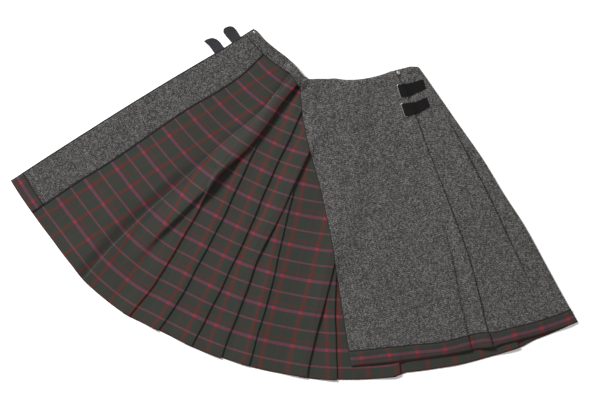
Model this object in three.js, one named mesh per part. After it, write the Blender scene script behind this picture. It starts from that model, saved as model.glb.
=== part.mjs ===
// Pleated wrap skirt (a kilt) laid flat, inside up, with its right side folded over the back.
// Millimetres, +Z up. It lies on z = 0, the waist towards +Y and the under apron towards -X.
import * as THREE from 'three';

// Driving dimensions of the cloth
const shellThickness = 1.2;
const liningThickness = 1.0;
const lappedThickness = 2.0;
const trimThickness = 1.0;
const seamGap = 0.3;
const stationCount = 9;
const overStationCount = 11;

// Driving dimensions of the fan: every fold and edge runs nearly straight from one centre
const fanCentre = { x: 105, y: 483 };
const waistbandDepth = 25;
const hemBandDepth = 32;

// Driving dimensions of the fittings
const strapThickness = 2.5;
const strapWidth = 22.6;
const strapTurn = 31;
const tabThickness = 2.2;
const tabLength = 54;
const tabWidth = 28;
const tabEndWidth = 21;
const barLength = 30;
const barRadius = 1.3;
const barGap = 0.5;
const studRadius = 5.2;
const studHeight = 2.4;
const mateRadius = 3.4;
const mateHeight = 1.4;

// Tables. A line gives angles in degrees against radii in mm, an edge gives radii against angles.
const line = (...rows) => rows.map(([radius, angle]) => ({ key: radius, value: angle }));
const edge = (...rows) => rows.map(([angle, radius]) => ({ key: angle, value: radius }));

const frontEdge = line([226, 207.1], [294, 208.6], [420, 209.1], [630, 210], [830, 210.7]);
const facingEdge = line([242, 220.5], [294, 221.5], [357, 220.3], [420, 218.6], [483, 217.9],
  [630, 217.2], [714, 216.5], [830, 216.2]);
const apronSeam = line([226, 237.3], [263, 237.2], [315, 236.5], [357, 234.8], [399, 233],
  [441, 231.7], [546, 230], [651, 228.6], [756, 228], [845, 228.2]);
const rightFold = line([231, 308.2], [294, 307.5], [378, 306.9], [462, 306.6], [546, 305.7],
  [630, 305.4], [714, 304.6], [777, 304.1], [863, 303.6]);

// The fold edges of the back pleats in order round the fan, each lying over the next band, with
// the number of points across the band before it, which keep a wide band's hem to its curve
const pleatFolds = [
  { across: 0, edge: line([231, 244.3], [263, 242.5], [315, 241], [378, 240], [441, 238],
    [504, 236], [567, 236.5], [630, 237], [714, 237.4], [777, 237.2], [840, 236.7]) },
  { across: 0, edge: line([231, 247.8], [294, 245], [368, 242.4], [420, 241.2], [546, 241.8],
    [714, 242], [777, 241.8], [840, 241.3]) },
  { across: 0, edge: line([231, 251.3], [294, 249.8], [357, 249], [420, 248.4], [588, 247.9],
    [672, 247.5], [836, 246.7]) },
  { across: 1, edge: line([231, 261], [315, 258.8], [372, 257], [441, 255], [504, 255.1],
    [588, 255.5], [756, 255.5], [840, 255.3]) },
  { across: 1, edge: line([231, 274], [378, 271.5], [525, 268.5], [599, 266.8], [693, 265.3],
    [798, 264], [840, 263.8]) },
  { across: 0, edge: line([231, 279], [378, 275.5], [525, 271.8], [599, 269.8], [672, 268.4],
    [756, 268.3], [830, 268.5]) },
  { across: 1, edge: line([231, 286], [420, 280.5], [630, 277.5], [809, 276.5], [840, 276.9]) },
  { across: 2, edge: line([231, 297], [504, 296], [851, 294.8]) },
];

// Waist and hem of the back
const backWaist = edge([207, 227], [209, 222.5], [213, 220.5], [219, 216], [225, 212], [230, 210],
  [236, 212], [239, 216], [242, 221.5], [245, 225], [300, 225], [309, 234]);
const backHem = edge([207, 828], [216, 827], [221, 829.5], [226, 837], [229, 843], [234, 846],
  [236.5, 845], [239, 840], [243, 838], [250, 839], [265, 840.5], [276.8, 838], [278, 834], [283, 836],
  [290, 843], [294.8, 850], [297, 848], [303.6, 861], [308, 863]);

// The side that is folded over the back
const overFront = line([235, 243.4], [246, 245], [294, 250], [347, 255], [382, 258], [410, 260],
  [452, 262.5], [515, 265], [567, 266.5], [651, 268], [714, 269], [777, 269.8], [812, 270.3]);
const overWaist = edge([243.4, 235], [246, 227.5], [253, 217], [261.3, 209], [267, 210], [283.3, 209.5],
  [293.6, 210], [299.3, 214.5], [304.7, 221], [308.2, 232]);
const overHem = edge([270.3, 812], [275, 807.5], [278, 807], [281, 808.5], [284, 812], [287, 816],
  [289, 819], [290.5, 824], [291.3, 830], [292.2, 827], [294, 831.6], [298, 844], [303.6, 863]);
const rippleStart = line([231, 290.5], [420, 291], [504, 290.8], [567, 290.3], [630, 290],
  [672, 289.3], [777, 288.3], [831, 288]);
const apronFold = line([231, 296.5], [315, 295.8], [357, 295], [399, 294.6], [462, 294.2], [525, 293.8],
  [588, 293.5], [651, 293], [735, 292], [777, 291.5], [831, 291.3]);
const sideRidge = line([231, 304.5], [368, 304.6], [420, 303.9], [504, 303], [588, 302], [693, 301],
  [756, 300.5], [850, 299.2]);

// Where the facing's turned-up end starts, from the fan's centre
const facingTurnTop = 798;

// Materials, one for each sub-part, in the photo's colours
const colours = { tweed: 0x54504f, tartan: 0x443d38, leather: 0x201f1f, steel: 0x9a9a98 };
const finish = {
  tweed: { roughness: 0.95, metalness: 0 },
  tartan: { roughness: 0.92, metalness: 0 },
  leather: { roughness: 0.5, metalness: 0 },
  steel: { roughness: 0.35, metalness: 0.9 },
};

function material(kind) {
  return new THREE.MeshStandardMaterial({ color: colours[kind], ...finish[kind] });
}

const skirt = new THREE.Group();

function addPiece(name, kind, geometry) {
  const piece = new THREE.Mesh(geometry, material(kind));
  piece.name = name;
  skirt.add(piece);
  return piece;
}

// Straight-line reading of a table at a key, level beyond its ends
function read(table, key) {
  const after = table.findIndex((row) => row.key >= key);
  if (after === 0) return table[0].value;
  if (after < 0) return table[table.length - 1].value;
  const low = table[after - 1];
  const high = table[after];
  return THREE.MathUtils.mapLinear(key, low.key, high.key, low.value, high.value);
}

const shifted = (table, amount) => table.map(({ key, value }) => ({ key, value: value + amount }));
const spread = (count) => Array.from({ length: count }, (_, order) => order / (count - 1));

const toDegrees = (length, radius) => THREE.MathUtils.radToDeg(length / radius);
const toLength = (angle, radius) => THREE.MathUtils.degToRad(angle) * radius;

// Radius at a share of the way from waist to hem
function radiusAt(waist, hem, angle, share) {
  return THREE.MathUtils.lerp(read(waist, angle), read(hem, angle), share);
}

// The angle at which a fold line meets a station, found by going to and fro between its two tables
const settlingTurns = 6;
function angleOnLine(foldLine, waist, hem, share) {
  let angle = foldLine[0].value;
  for (let turn = 0; turn < settlingTurns; turn += 1) {
    angle = read(foldLine, radiusAt(waist, hem, angle, share));
  }
  return angle;
}

// A point of a cloth section: its place, and the way out of the cloth's upper face
function sectionPoint(radius, angle, height, lean = 0, rise = 1) {
  const turn = THREE.MathUtils.degToRad(angle);
  const along = new THREE.Vector3(-Math.sin(turn), Math.cos(turn), 0);
  return {
    at: new THREE.Vector3(
      fanCentre.x + radius * Math.cos(turn), fanCentre.y + radius * Math.sin(turn), height),
    out: along.multiplyScalar(lean).add(new THREE.Vector3(0, 0, rise)),
  };
}

// A closed wall between two offsets from a grid of section points, its stations from waist to hem
function clothWall(rows, lower, upper) {
  const columns = rows[0].length;
  const positions = [];
  for (const offset of [lower, upper]) {
    for (const row of rows) {
      for (const point of row) positions.push(...point.at.clone().addScaledVector(point.out, offset));
    }
  }
  const perSide = rows.length * columns;
  const index = (side, row, column) => side * perSide + row * columns + column;
  const faces = [];
  const quad = (a, b, c, d) => faces.push(a, b, c, a, c, d);
  for (let row = 0; row < rows.length - 1; row += 1) {
    for (let column = 0; column < columns - 1; column += 1) {
      quad(index(1, row, column), index(1, row + 1, column),
        index(1, row + 1, column + 1), index(1, row, column + 1));
      quad(index(0, row, column), index(0, row, column + 1),
        index(0, row + 1, column + 1), index(0, row + 1, column));
    }
    quad(index(0, row, 0), index(0, row + 1, 0), index(1, row + 1, 0), index(1, row, 0));
    const last = columns - 1;
    quad(index(1, row, last), index(1, row + 1, last), index(0, row + 1, last), index(0, row, last));
  }
  const end = rows.length - 1;
  for (let column = 0; column < columns - 1; column += 1) {
    quad(index(0, 0, column), index(1, 0, column), index(1, 0, column + 1), index(0, 0, column + 1));
    quad(index(1, end, column), index(0, end, column),
      index(0, end, column + 1), index(1, end, column + 1));
  }
  const geometry = new THREE.BufferGeometry();
  geometry.setAttribute('position', new THREE.Float32BufferAttribute(positions, 3));
  geometry.setIndex(faces);
  return geometry;
}

// Heights of the back, worked out from its two layers. The section line runs between them.
const shellFace = shellThickness + seamGap / 2;
const liningFace = liningThickness + seamGap / 2;
const liningTurn = liningFace + seamGap / 2;
const shellTurn = shellFace + seamGap / 2;
const floorLine = shellFace;
const tuckLine = floorLine + 2 * liningTurn;
const crestLine = tuckLine + 2 * shellTurn;

const tuckShare = 0.45;
const tuckClearance = 8;
const tuckMost = 38;
const tuckLeast = 3.2;
const slopeMost = 30;
const layerClearance = 2;

// How far a pleat tucks under its fold edge, and how long its slope up to the edge is
function pleatTuck(spacing) {
  const share = tuckShare * (spacing - tuckClearance);
  const depth = THREE.MathUtils.clamp(share, tuckLeast, tuckMost);
  return { depth, slope: Math.min(slopeMost, spacing - depth - 2 * layerClearance) };
}

// Half a turn of cloth about an axis, from one level down to the next, in equal steps
const turnSteps = 3;
function clothTurn(radius, angle, level, turnRadius, side, steps = turnSteps) {
  return spread(steps + 1).map((part) => {
    const across = side * Math.sin(Math.PI * part);
    const up = Math.cos(Math.PI * part);
    const where = angle + toDegrees(turnRadius * across, radius);
    return sectionPoint(radius, where, level - turnRadius + turnRadius * up, side * across, side * up);
  });
}

const floorReturn = 18;
const backEndInset = floorReturn + 2;
const lastBandAcross = 1;

// One station of the back pleats: floor, slope, crest, turn, tuck and turn for every pleat
function backPleatsRow(share) {
  const radiusOn = (angle) => radiusAt(backWaist, backHem, angle, share);
  const start = angleOnLine(apronSeam, backWaist, backHem, share);
  const points = [sectionPoint(radiusOn(start), start + toDegrees(seamGap / 2, radiusOn(start)), floorLine)];
  let before = start;
  const addBand = (count, to) => spread(count + 2).slice(1).forEach((part) => {
    const angle = THREE.MathUtils.lerp(before, to, part);
    points.push(sectionPoint(radiusOn(angle), angle, floorLine));
  });
  pleatFolds.forEach(({ across, edge: foldEdge }) => {
    const angle = angleOnLine(foldEdge, backWaist, backHem, share);
    const radius = radiusOn(angle);
    const { depth, slope } = pleatTuck(toLength(angle - before, radius));
    const at = (length) => angle - toDegrees(length, radius);
    addBand(across, at(depth + layerClearance + slope));
    before = angle;
    points.push(sectionPoint(radius, at(depth + layerClearance), crestLine));
    points.push(...clothTurn(radius, at(shellTurn), crestLine, shellTurn, 1));
    points.push(...clothTurn(radius, at(depth - liningTurn), tuckLine, liningTurn, -1));
  });
  const end = angleOnLine(rightFold, backWaist, backHem, share);
  addBand(lastBandAcross, end - toDegrees(backEndInset, radiusOn(end)));
  return points;
}

// Stations from waist to hem; the folded side has one more, where its hem bands start
const overLength = 610;
const backStations = spread(stationCount);
const overStations = [...spread(overStationCount).slice(0, -1), 1 - hemBandDepth / overLength, 1];

// One station of the under apron, from the front edge past the facing's edge to the seam
function underApronRow(share) {
  const radiusOn = (angle) => radiusAt(backWaist, backHem, angle, share);
  const front = angleOnLine(frontEdge, backWaist, backHem, share);
  const facing = angleOnLine(facingEdge, backWaist, backHem, share);
  const seam = angleOnLine(apronSeam, backWaist, backHem, share);
  const middle = (facing + seam) / 2;
  const angles = [front, (front + facing) / 2, facing, middle, seam - toDegrees(seamGap / 2, radiusOn(seam))];
  return angles.map((angle) => sectionPoint(radiusOn(angle), angle, floorLine));
}

// The faces of walls as plain triangles, so that the height of what they cover can be read anywhere
function facesOf(rows, offset) {
  const grid = rows.map((row) => row.map((point) => point.at.clone().addScaledVector(point.out, offset)));
  const faces = [];
  for (let row = 0; row < grid.length - 1; row += 1) {
    for (let column = 0; column < grid[row].length - 1; column += 1) {
      const near = grid[row][column];
      const far = grid[row + 1][column + 1];
      faces.push([near, grid[row + 1][column], far], [near, far, grid[row][column + 1]]);
    }
  }
  return faces;
}

// Height of a face at a place in plan, or nothing where the face doesn't cover it
function heightOn([a, b, c], x, y) {
  const area = (b.x - a.x) * (c.y - a.y) - (c.x - a.x) * (b.y - a.y);
  if (Math.abs(area) < 1e-6) return 0;
  const toB = ((x - a.x) * (c.y - a.y) - (c.x - a.x) * (y - a.y)) / area;
  const toC = ((b.x - a.x) * (y - a.y) - (x - a.x) * (b.y - a.y)) / area;
  if (toB < 0 || toC < 0 || toB + toC > 1) return 0;
  return a.z + toB * (b.z - a.z) + toC * (c.z - a.z);
}

// The height on which a piece rests: the highest face under it for a little way round, and the gap
const restSteps = 4;
const widestFace = 130;
function restHeight(faces, x, y, reach) {
  const isNear = (corner) => Math.abs(corner.x - x) < widestFace && Math.abs(corner.y - y) < widestFace;
  const near = faces.filter((face) => face.some(isNear));
  let highest = 0;
  for (let i = -restSteps; i <= restSteps; i += 1) {
    for (let j = -restSteps; j <= restSteps; j += 1) {
      const across = x + reach * i / restSteps;
      const along = y + reach * j / restSteps;
      for (const face of near) highest = Math.max(highest, heightOn(face, across, along));
    }
  }
  return highest + seamGap;
}

// A section point laid on what is under it
function lyingPoint(faces, radius, angle, reach, thickness, least = 0) {
  const flat = sectionPoint(radius, angle, 0);
  const base = Math.max(least, restHeight(faces, flat.at.x, flat.at.y, reach));
  flat.at.z = base + thickness / 2;
  return flat;
}

const underApronRows = backStations.map(underApronRow);
const backPleatsRows = backStations.map(backPleatsRow);
const backFaces = [...facesOf(underApronRows, liningFace), ...facesOf(backPleatsRows, liningFace)];

addPiece('under_apron_shell', 'tweed', clothWall(underApronRows, -shellFace, -seamGap / 2));
addPiece('under_apron_lining', 'tartan', clothWall(underApronRows, seamGap / 2, liningFace));
addPiece('back_pleats_shell', 'tweed', clothWall(backPleatsRows, -shellFace, -seamGap / 2));
addPiece('back_pleats_lining', 'tartan', clothWall(backPleatsRows, seamGap / 2, liningFace));

// The facing along the front edge, and its turned-up end at the hem
const trimFace = trimThickness / 2;
const facingLevel = floorLine + liningFace + seamGap + trimFace;
const facingInset = 0.1;

function facingRows(waist, hem, count) {
  return spread(count).map((share) => {
    const front = angleOnLine(frontEdge, waist, hem, share) + facingInset;
    const inner = angleOnLine(facingEdge, waist, hem, share);
    return [front, (front + inner) / 2, inner]
      .map((angle) => sectionPoint(radiusAt(waist, hem, angle, share), angle, facingLevel));
  });
}

const chordAllowance = 0.8;
const bandBottom = shifted(backWaist, waistbandDepth);
const facingTop = shifted(bandBottom, seamGap + chordAllowance);
const turnTop = edge([200, facingTurnTop]);
const facingFoot = shifted(turnTop, -seamGap);

const facingStations = 8;
const facing = facingRows(facingTop, facingFoot, facingStations);
const facingTurnUp = facingRows(turnTop, backHem, 2);
addPiece('apron_facing', 'tweed', clothWall(facing, -trimFace, trimFace));
addPiece('facing_turn_up', 'tartan', clothWall(facingTurnUp, -trimFace, trimFace));

// The inner waistband lies on the lining and passes a little way under the over apron
const waistbandEnd = 247.5;
const waistbandColumns = 14;
const waistbandReach = 13;

const waistbandRows = spread(3).map((share) => {
  const front = angleOnLine(frontEdge, backWaist, bandBottom, share) + facingInset;
  return spread(waistbandColumns + 1).map((part) => {
    const angle = THREE.MathUtils.lerp(front, waistbandEnd, part);
    return lyingPoint(backFaces, radiusAt(backWaist, bandBottom, angle, share), angle,
      waistbandReach, trimThickness);
  });
});
addPiece('waistband_inner', 'tweed', clothWall(waistbandRows, -trimFace, trimFace));

// The over apron rests on the back and laps over the side pleats with a tuck of its own
const overFace = lappedThickness / 2;
const overTurn = overFace + seamGap / 2;
const apronTuck = 12;
const tongueReach = 12;
const apronColumns = 13;
const overReach = 30;
const underOver = [...backFaces, ...facesOf(waistbandRows, trimFace)];

const overAngle = (foldLine, share) => angleOnLine(foldLine, overWaist, overHem, share);
const overRadius = (angle, share) => radiusAt(overWaist, overHem, angle, share);

// Near the waist the folded side rides over the waistband, and elsewhere over the pleats alone
const waistShare = 0.15;
const waistRest = crestLine + liningFace + trimThickness + 2 * seamGap;
function overPoint(angle, share, least = 0) {
  const rest = share < waistShare ? waistRest : least;
  return lyingPoint(underOver, overRadius(angle, share), angle, overReach, lappedThickness, rest);
}

// The level of the cloth where the over apron laps over the side pleats
function lapLevel(share) {
  const fold = overAngle(apronFold, share);
  const reach = toDegrees(tongueReach, overRadius(fold, share));
  return Math.max(...[fold - reach, fold, fold + reach].map((angle) => overPoint(angle, share).at.z));
}

function overApronRow(share) {
  const front = overAngle(overFront, share);
  const ripple = overAngle(rippleStart, share);
  const fold = overAngle(apronFold, share);
  const points = spread(apronColumns + 1)
    .map((part) => overPoint(THREE.MathUtils.lerp(front, ripple, part), share));
  const radius = overRadius(fold, share);
  const at = (length) => fold - toDegrees(length, radius);
  const crest = lapLevel(share) + 4 * overTurn;
  points.push(sectionPoint(radius, at(apronTuck + layerClearance), crest));
  points.push(...clothTurn(radius, at(overTurn), crest, overTurn, 1));
  points.push(sectionPoint(radius, at(apronTuck), crest - 2 * overTurn, 0, -1));
  return points;
}

// The side pleats: a tongue under the over apron, a soft ridge, and the round fold to the floor
const ridgeRise = 3;
const ridgeLeft = 18;
const ridgeRight = 7;
const sideColumns = 3;
const roundFoldSpace = 5;
const roundFoldSteps = 5;

function sidePleatsRow(share) {
  const fold = overAngle(apronFold, share);
  const ridge = overAngle(sideRidge, share);
  const end = overAngle(rightFold, share);
  const along = (angle, length) => angle + toDegrees(length, overRadius(angle, share));
  const lap = lapLevel(share);
  const tongueEnd = along(fold, layerClearance);
  const points = [along(fold, -tongueReach), tongueEnd]
    .map((angle) => sectionPoint(overRadius(angle, share), angle, lap));
  const ridgeFoot = along(ridge, -ridgeLeft);
  spread(sideColumns + 1).slice(1).forEach((part) => {
    points.push(overPoint(THREE.MathUtils.lerp(tongueEnd, ridgeFoot, part), share, roundFoldSpace));
  });
  const crest = overPoint(ridge, share, roundFoldSpace);
  crest.at.z += ridgeRise;
  points.push(crest, overPoint(along(ridge, ridgeRight), share, roundFoldSpace));
  const turnRadius = roundFoldSpace / 2;
  points.push(...clothTurn(overRadius(end, share), along(end, -turnRadius),
    overFace + roundFoldSpace, turnRadius, 1, roundFoldSteps));
  points.push(sectionPoint(overRadius(end, share), along(end, -floorReturn), overFace, 0, -1));
  return points;
}

const overApronRows = overStations.map(overApronRow);
const sidePleatsRows = overStations.map(sidePleatsRow);
addPiece('over_apron', 'tweed', clothWall(overApronRows, -overFace, overFace));
addPiece('side_pleats', 'tweed', clothWall(sidePleatsRows, -overFace, overFace));

// Hem bands on the folded side, each made from its panel's own points, moved out
const bandLower = overFace + seamGap;
const bandUpper = bandLower + trimThickness;
const apronBandPoints = apronColumns + 3;
const sideBandPoints = sideColumns + 4;
const bandRows = (rows, from, count) => rows.slice(-2).map((row) => row.slice(from, from + count));
const apronBand = bandRows(overApronRows, 0, apronBandPoints);
const sideBand = bandRows(sidePleatsRows, 1, sideBandPoints);
addPiece('hem_band_apron', 'tartan', clothWall(apronBand, bandLower, bandUpper));
addPiece('hem_band_side', 'tartan', clothWall(sideBand, bandLower, bandUpper));

// A flat piece of leather from a half width at each share of its length, and a sideways sweep
function leatherShape(length, halfWidthAt, sweepAt, steps) {
  const sides = spread(steps + 1).map((share) => ({
    along: share * length, half: halfWidthAt(share), sweep: sweepAt(share * length),
  }));
  const shape = new THREE.Shape();
  sides.forEach(({ along, half, sweep }, order) => {
    if (order === 0) shape.moveTo(sweep - half, along);
    else shape.lineTo(sweep - half, along);
  });
  [...sides].reverse().forEach(({ along, half, sweep }) => shape.lineTo(sweep + half, along));
  return shape;
}

// The strap ends, lying on the floor where they come out past the front edge
const strapEnds = [
  { name: 'strap_end_upper', root: 270.5, length: 30.5, lean: 0.15, curl: 0 },
  { name: 'strap_end_lower', root: 312.7, length: 30, lean: 0.04, curl: 0.006 },
];
const strapHalf = strapWidth / 2;
const strapTip = 0.22;
const tipNarrowing = 0.72;
const strapSteps = 9;
const strapInset = 0.8;

strapEnds.forEach(({ name, root, length, lean, curl }) => {
  const halfAt = (share) => {
    const past = Math.max(0, (share - 1 + strapTip) / strapTip);
    return strapHalf * Math.sqrt(1 - tipNarrowing * past * past);
  };
  const shape = leatherShape(length, halfAt, (along) => -lean * along - curl * along * along, strapSteps);
  const geometry = new THREE.ExtrudeGeometry(shape, { depth: strapThickness, bevelEnabled: false });
  const strap = addPiece(name, 'leather', geometry);
  const angle = read(frontEdge, root);
  const start = sectionPoint(root, angle, 0).at;
  const edgeTurn = THREE.MathUtils.degToRad(strapTurn);
  strap.position.set(start.x - strapInset * Math.sin(edgeTurn), start.y + strapInset * Math.cos(edgeTurn), 0);
  strap.rotation.z = edgeTurn;
});

// The buckle tabs, each a leather grid laid on the cloth, and the metal bar at its left end
const overFaces = [...facesOf(overApronRows, overFace), ...facesOf(sidePleatsRows, overFace)];
const buckles = [
  { name: 'upper', x: 208.5, y: 248.5, turn: 17 },
  { name: 'lower', x: 217, y: 209, turn: 18.5 },
];
const tabReach = 9;
const tabFace = tabThickness / 2;
const tabRows = 7;
const tabColumns = 4;
const barSides = 10;

buckles.forEach(({ name, x, y, turn }) => {
  const heading = THREE.MathUtils.degToRad(turn);
  const place = (along, across) => new THREE.Vector3(
    x + along * Math.cos(heading) - across * Math.sin(heading),
    y + along * Math.sin(heading) + across * Math.cos(heading), 0);
  const rows = spread(tabRows).map((share) => spread(tabColumns).map((side) => {
    const half = THREE.MathUtils.lerp(tabWidth, tabEndWidth, share) / 2;
    const at = place(share * tabLength, THREE.MathUtils.lerp(-half, half, side));
    at.z = restHeight(overFaces, at.x, at.y, tabReach) + tabFace;
    return { at, out: new THREE.Vector3(0, 0, 1) };
  }));
  addPiece(`buckle_tab_${name}`, 'leather', clothWall(rows, -tabFace, tabFace));
  const bar = addPiece(`buckle_bar_${name}`, 'steel',
    new THREE.CylinderGeometry(barRadius, barRadius, barLength, barSides));
  const middle = place(-barRadius - barGap, 0);
  const ends = [1, 0, -1].map((end) => place(-barRadius - barGap, end * barLength / 2));
  const base = Math.max(...ends.map((end) => restHeight(overFaces, end.x, end.y, tabReach)));
  bar.position.set(middle.x, middle.y, base + barRadius);
  bar.rotation.z = heading;
});

// The press stud on the over apron and its mate on the waistband
const studSides = 16;
function addStud(name, x, y, radius, height, faces, reach) {
  const profile = [[0, 0], [radius, 0], [radius, height * 0.3], [radius * 0.72, height * 0.8],
    [radius * 0.4, height], [0, height]].map(([across, up]) => new THREE.Vector2(across, up));
  const stud = addPiece(name, 'steel', new THREE.LatheGeometry(profile, studSides));
  stud.rotation.x = Math.PI / 2;
  stud.position.set(x, y, restHeight(faces, x, y, reach));
}
addStud('press_stud', 206, 288, studRadius, studHeight, overFaces, studRadius);
addStud('press_stud_mate', -96, 373, mateRadius, mateHeight, facesOf(waistbandRows, trimFace), mateRadius);

// Origin at the middle of the underside
const box = new THREE.Box3().setFromObject(skirt);
skirt.position.set(-(box.min.x + box.max.x) / 2, -(box.min.y + box.max.y) / 2, 0);

export default skirt;
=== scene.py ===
import math
from collections import namedtuple
from functools import partial

import bpy
import numpy as np
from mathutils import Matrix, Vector


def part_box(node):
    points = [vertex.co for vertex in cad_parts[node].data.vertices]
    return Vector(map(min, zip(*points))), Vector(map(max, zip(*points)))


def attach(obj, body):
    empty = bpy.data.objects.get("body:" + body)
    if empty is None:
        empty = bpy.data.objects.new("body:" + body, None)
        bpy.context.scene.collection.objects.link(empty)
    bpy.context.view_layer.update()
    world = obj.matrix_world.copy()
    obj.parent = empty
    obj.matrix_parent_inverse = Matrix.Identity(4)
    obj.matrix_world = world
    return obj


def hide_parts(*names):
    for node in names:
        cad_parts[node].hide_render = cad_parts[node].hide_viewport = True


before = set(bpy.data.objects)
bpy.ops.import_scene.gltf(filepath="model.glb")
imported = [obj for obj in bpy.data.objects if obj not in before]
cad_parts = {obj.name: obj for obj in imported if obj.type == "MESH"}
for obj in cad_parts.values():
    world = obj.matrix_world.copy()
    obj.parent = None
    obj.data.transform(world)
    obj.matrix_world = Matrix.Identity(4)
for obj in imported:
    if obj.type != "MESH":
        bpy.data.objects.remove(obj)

bl_info = {
    "name": "Pleated wrap skirt",
    "version": (1, 0, 0),
    "blender": (4, 5, 0),
    "location": "View3D > Sidebar > Wrap skirt",
    "description": "A kilt laid flat, inside up, with its right side folded over the back",
    "category": "Add Mesh",
}

# The skirt's draft is in millimetres, as it would be cut. Blender's objects are in metres.
MM = 0.001

# Every fold and edge runs nearly straight from the centre of one fan
FAN_X = 105.0
FAN_Y = 483.0

# The two halves of the press stud
STUD = (206.0, 288.0)
MATE = (-96.0, 373.0)

# Gaps between the layers, and the parts of a band that lie out of sight
FLOOR_GAP = 0.3
LAYER_GAP = 0.3
TRIM_GAP = 0.15
HIDDEN_EDGE = 16.0
SEAM_MARGIN = 7.0
TUCK_DEPTH = 11.0
FLOOR_RETURN = 18.0
OPEN_END = 22.0
ROLL_ALLOWANCE = 4.0
UNDER_APRON_MARGIN = 12.0
OVER_TUCK = 6.0
HEM_DIFFERENCE = 0.5

# How finely the cloth is divided, and how softly its lines are read
GRID_STEP = 4.0
ROW_STEP = 5.0
ROLL_STEPS = 7
SIDE_ROLL_STEPS = 9
RADIUS_EASE = 18.0
ANGLE_EASE = 0.7
SETTLING_TURNS = 6

# What the camera takes in from straight above
FRAME_WIDTH = 1.26
CAMERA_HEIGHT = 6.0
SENSOR_WIDTH = 36.0


def line(*rows):
    """A table of (key, value) rows: a fold line gives angles against radii, an edge the other way."""
    return np.array(rows, float)


FRONT_EDGE = line((226, 207.1), (294, 208.6), (420, 209.1), (630, 210), (830, 210.7))
FACING_EDGE = line((242, 220.5), (294, 221.5), (357, 220.3), (420, 218.6), (483, 217.9),
                   (630, 217.2), (714, 216.5), (830, 216.2))
APRON_SEAM = line((226, 237.3), (263, 237.2), (315, 236.5), (357, 234.8), (399, 233),
                  (441, 231.7), (546, 230), (651, 228.6), (756, 228), (845, 228.2))
RIGHT_FOLD = line((231, 308.2), (294, 307.5), (378, 306.9), (462, 306.6), (546, 305.7),
                  (630, 305.4), (714, 304.6), (777, 304.1), (863, 303.6))
FIRST_FOLD = line((231, 244.3), (263, 242.5), (315, 241), (378, 240), (441, 238), (504, 236.1),
                  (567, 236.6), (630, 237), (714, 237.4), (777, 237.2), (840, 236.7))
SECOND_FOLD = line((231, 243), (368, 240.2), (420, 240.8), (462, 241.3), (546, 241.8),
                   (630, 242), (714, 242), (777, 241.8), (840, 241.3))
THIRD_FOLD = line((221, 251.5), (294, 249.8), (357, 249), (420, 248.4), (504, 248),
                  (588, 247.9), (672, 247.5), (756, 247), (836, 246.7))
FOURTH_FOLD = line((231, 261), (315, 258.8), (372, 257), (399, 256), (441, 255), (483, 254),
                   (546, 253), (578, 252.2), (630, 251.7), (714, 251.5), (777, 251.3), (840, 251.2))
WEDGE_FOLD = line((231, 258.6), (378, 255.2), (441, 254.9), (504, 255.1), (588, 255.5),
                  (672, 255.6), (746, 255.5), (840, 255.3))
FIFTH_FOLD = line((231, 274), (378, 271.5), (525, 268.5), (599, 266.8), (693, 265.3),
                  (735, 264.8), (798, 264), (840, 263.8))
SIXTH_FOLD = line((231, 279), (378, 275.5), (525, 269.8), (600, 267.4), (655, 267.3),
                  (740, 267.7), (830, 268.1))
SEVENTH_FOLD = line((231, 286), (420, 280.5), (630, 277.5), (800, 277.3), (840, 277.4))
EIGHTH_FOLD = line((231, 297), (504, 296), (851, 294.8))
FIRST_RIDGE = line((420, 238), (504, 235.6), (546, 235), (609, 234), (672, 233), (740, 232.5))
OVER_FRONT = line((235, 243.4), (246, 245), (294, 250), (347, 255), (382, 258), (410, 260),
                  (452, 262.5), (515, 265), (567, 266.5), (651, 268), (714, 269), (777, 269.8),
                  (812, 270.3))
RIPPLE_EDGE = line((231, 293.4), (378, 292.6), (420, 292), (504, 291.5), (567, 290.5),
                   (630, 290), (672, 289.3), (714, 288.8), (777, 288.3), (831, 288))
APRON_FOLD = line((231, 296.5), (315, 295.8), (357, 295), (399, 294.6), (462, 294.2),
                  (525, 293.8), (588, 293.5), (651, 293), (735, 292), (777, 291.5), (831, 291.3))
SIDE_FOLD = line((231, 304.5), (368, 304.8), (399, 304.3), (462, 303.5), (504, 303),
                 (546, 302.5), (588, 302), (630, 301.5), (693, 301), (756, 300.5), (850, 299.3))

BACK_WAIST = line((207, 227), (209, 222.5), (213, 220.5), (219, 216), (225, 212), (230, 210),
                  (236, 212), (239, 216), (242, 221.5), (245, 225), (300, 225), (309, 234))
BAND_BOTTOM = line((207, 248), (210, 245.5), (215, 241.5), (220, 239.5), (230, 235), (237, 233),
                   (241, 239.5), (244, 248), (246, 250))
BAND_LEFT = line((200, 207.4), (300, 207.9))
BAND_RIGHT = line((200, 246.5), (300, 246.5))
BACK_HEM = line((207, 828), (216, 827), (218, 828), (221, 829.5), (224, 834), (226, 837),
                (228, 843), (230, 844.5), (234, 846), (236.5, 845), (239, 840), (243, 838),
                (250, 839), (260, 839), (265, 840.5), (270, 840), (276.9, 839.5), (277.5, 831.5),
                (283, 836), (286, 840), (290, 843), (294.8, 850), (297, 848), (303.6, 861),
                (308, 863))
OVER_WAIST = line((243.4, 235), (246, 227.5), (253, 217), (261.3, 209), (267, 210),
                  (283.3, 209.5), (293.6, 210), (299.3, 214.5), (304.7, 221), (308.2, 232))
OVER_HEM = line((270, 812), (272, 809), (275, 807.5), (278, 807), (281, 808.5), (284, 812),
                (287, 816), (289, 819), (290.5, 824), (291.3, 830), (292.2, 827), (294, 831.6),
                (298, 844), (303.6, 863))
HEM_BAND_TOP = line((269, 780), (275, 775), (280, 777), (284, 784), (288, 786), (290.5, 789),
                    (292, 799), (295, 805), (298, 815), (300, 821), (303.5, 832))
FACING_TURN_TOP = 798.0
FACING_TURN = line((200, FACING_TURN_TOP), (320, FACING_TURN_TOP))
FACING_COLUMNS = 20
FACING_STACK = 1.9

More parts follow.
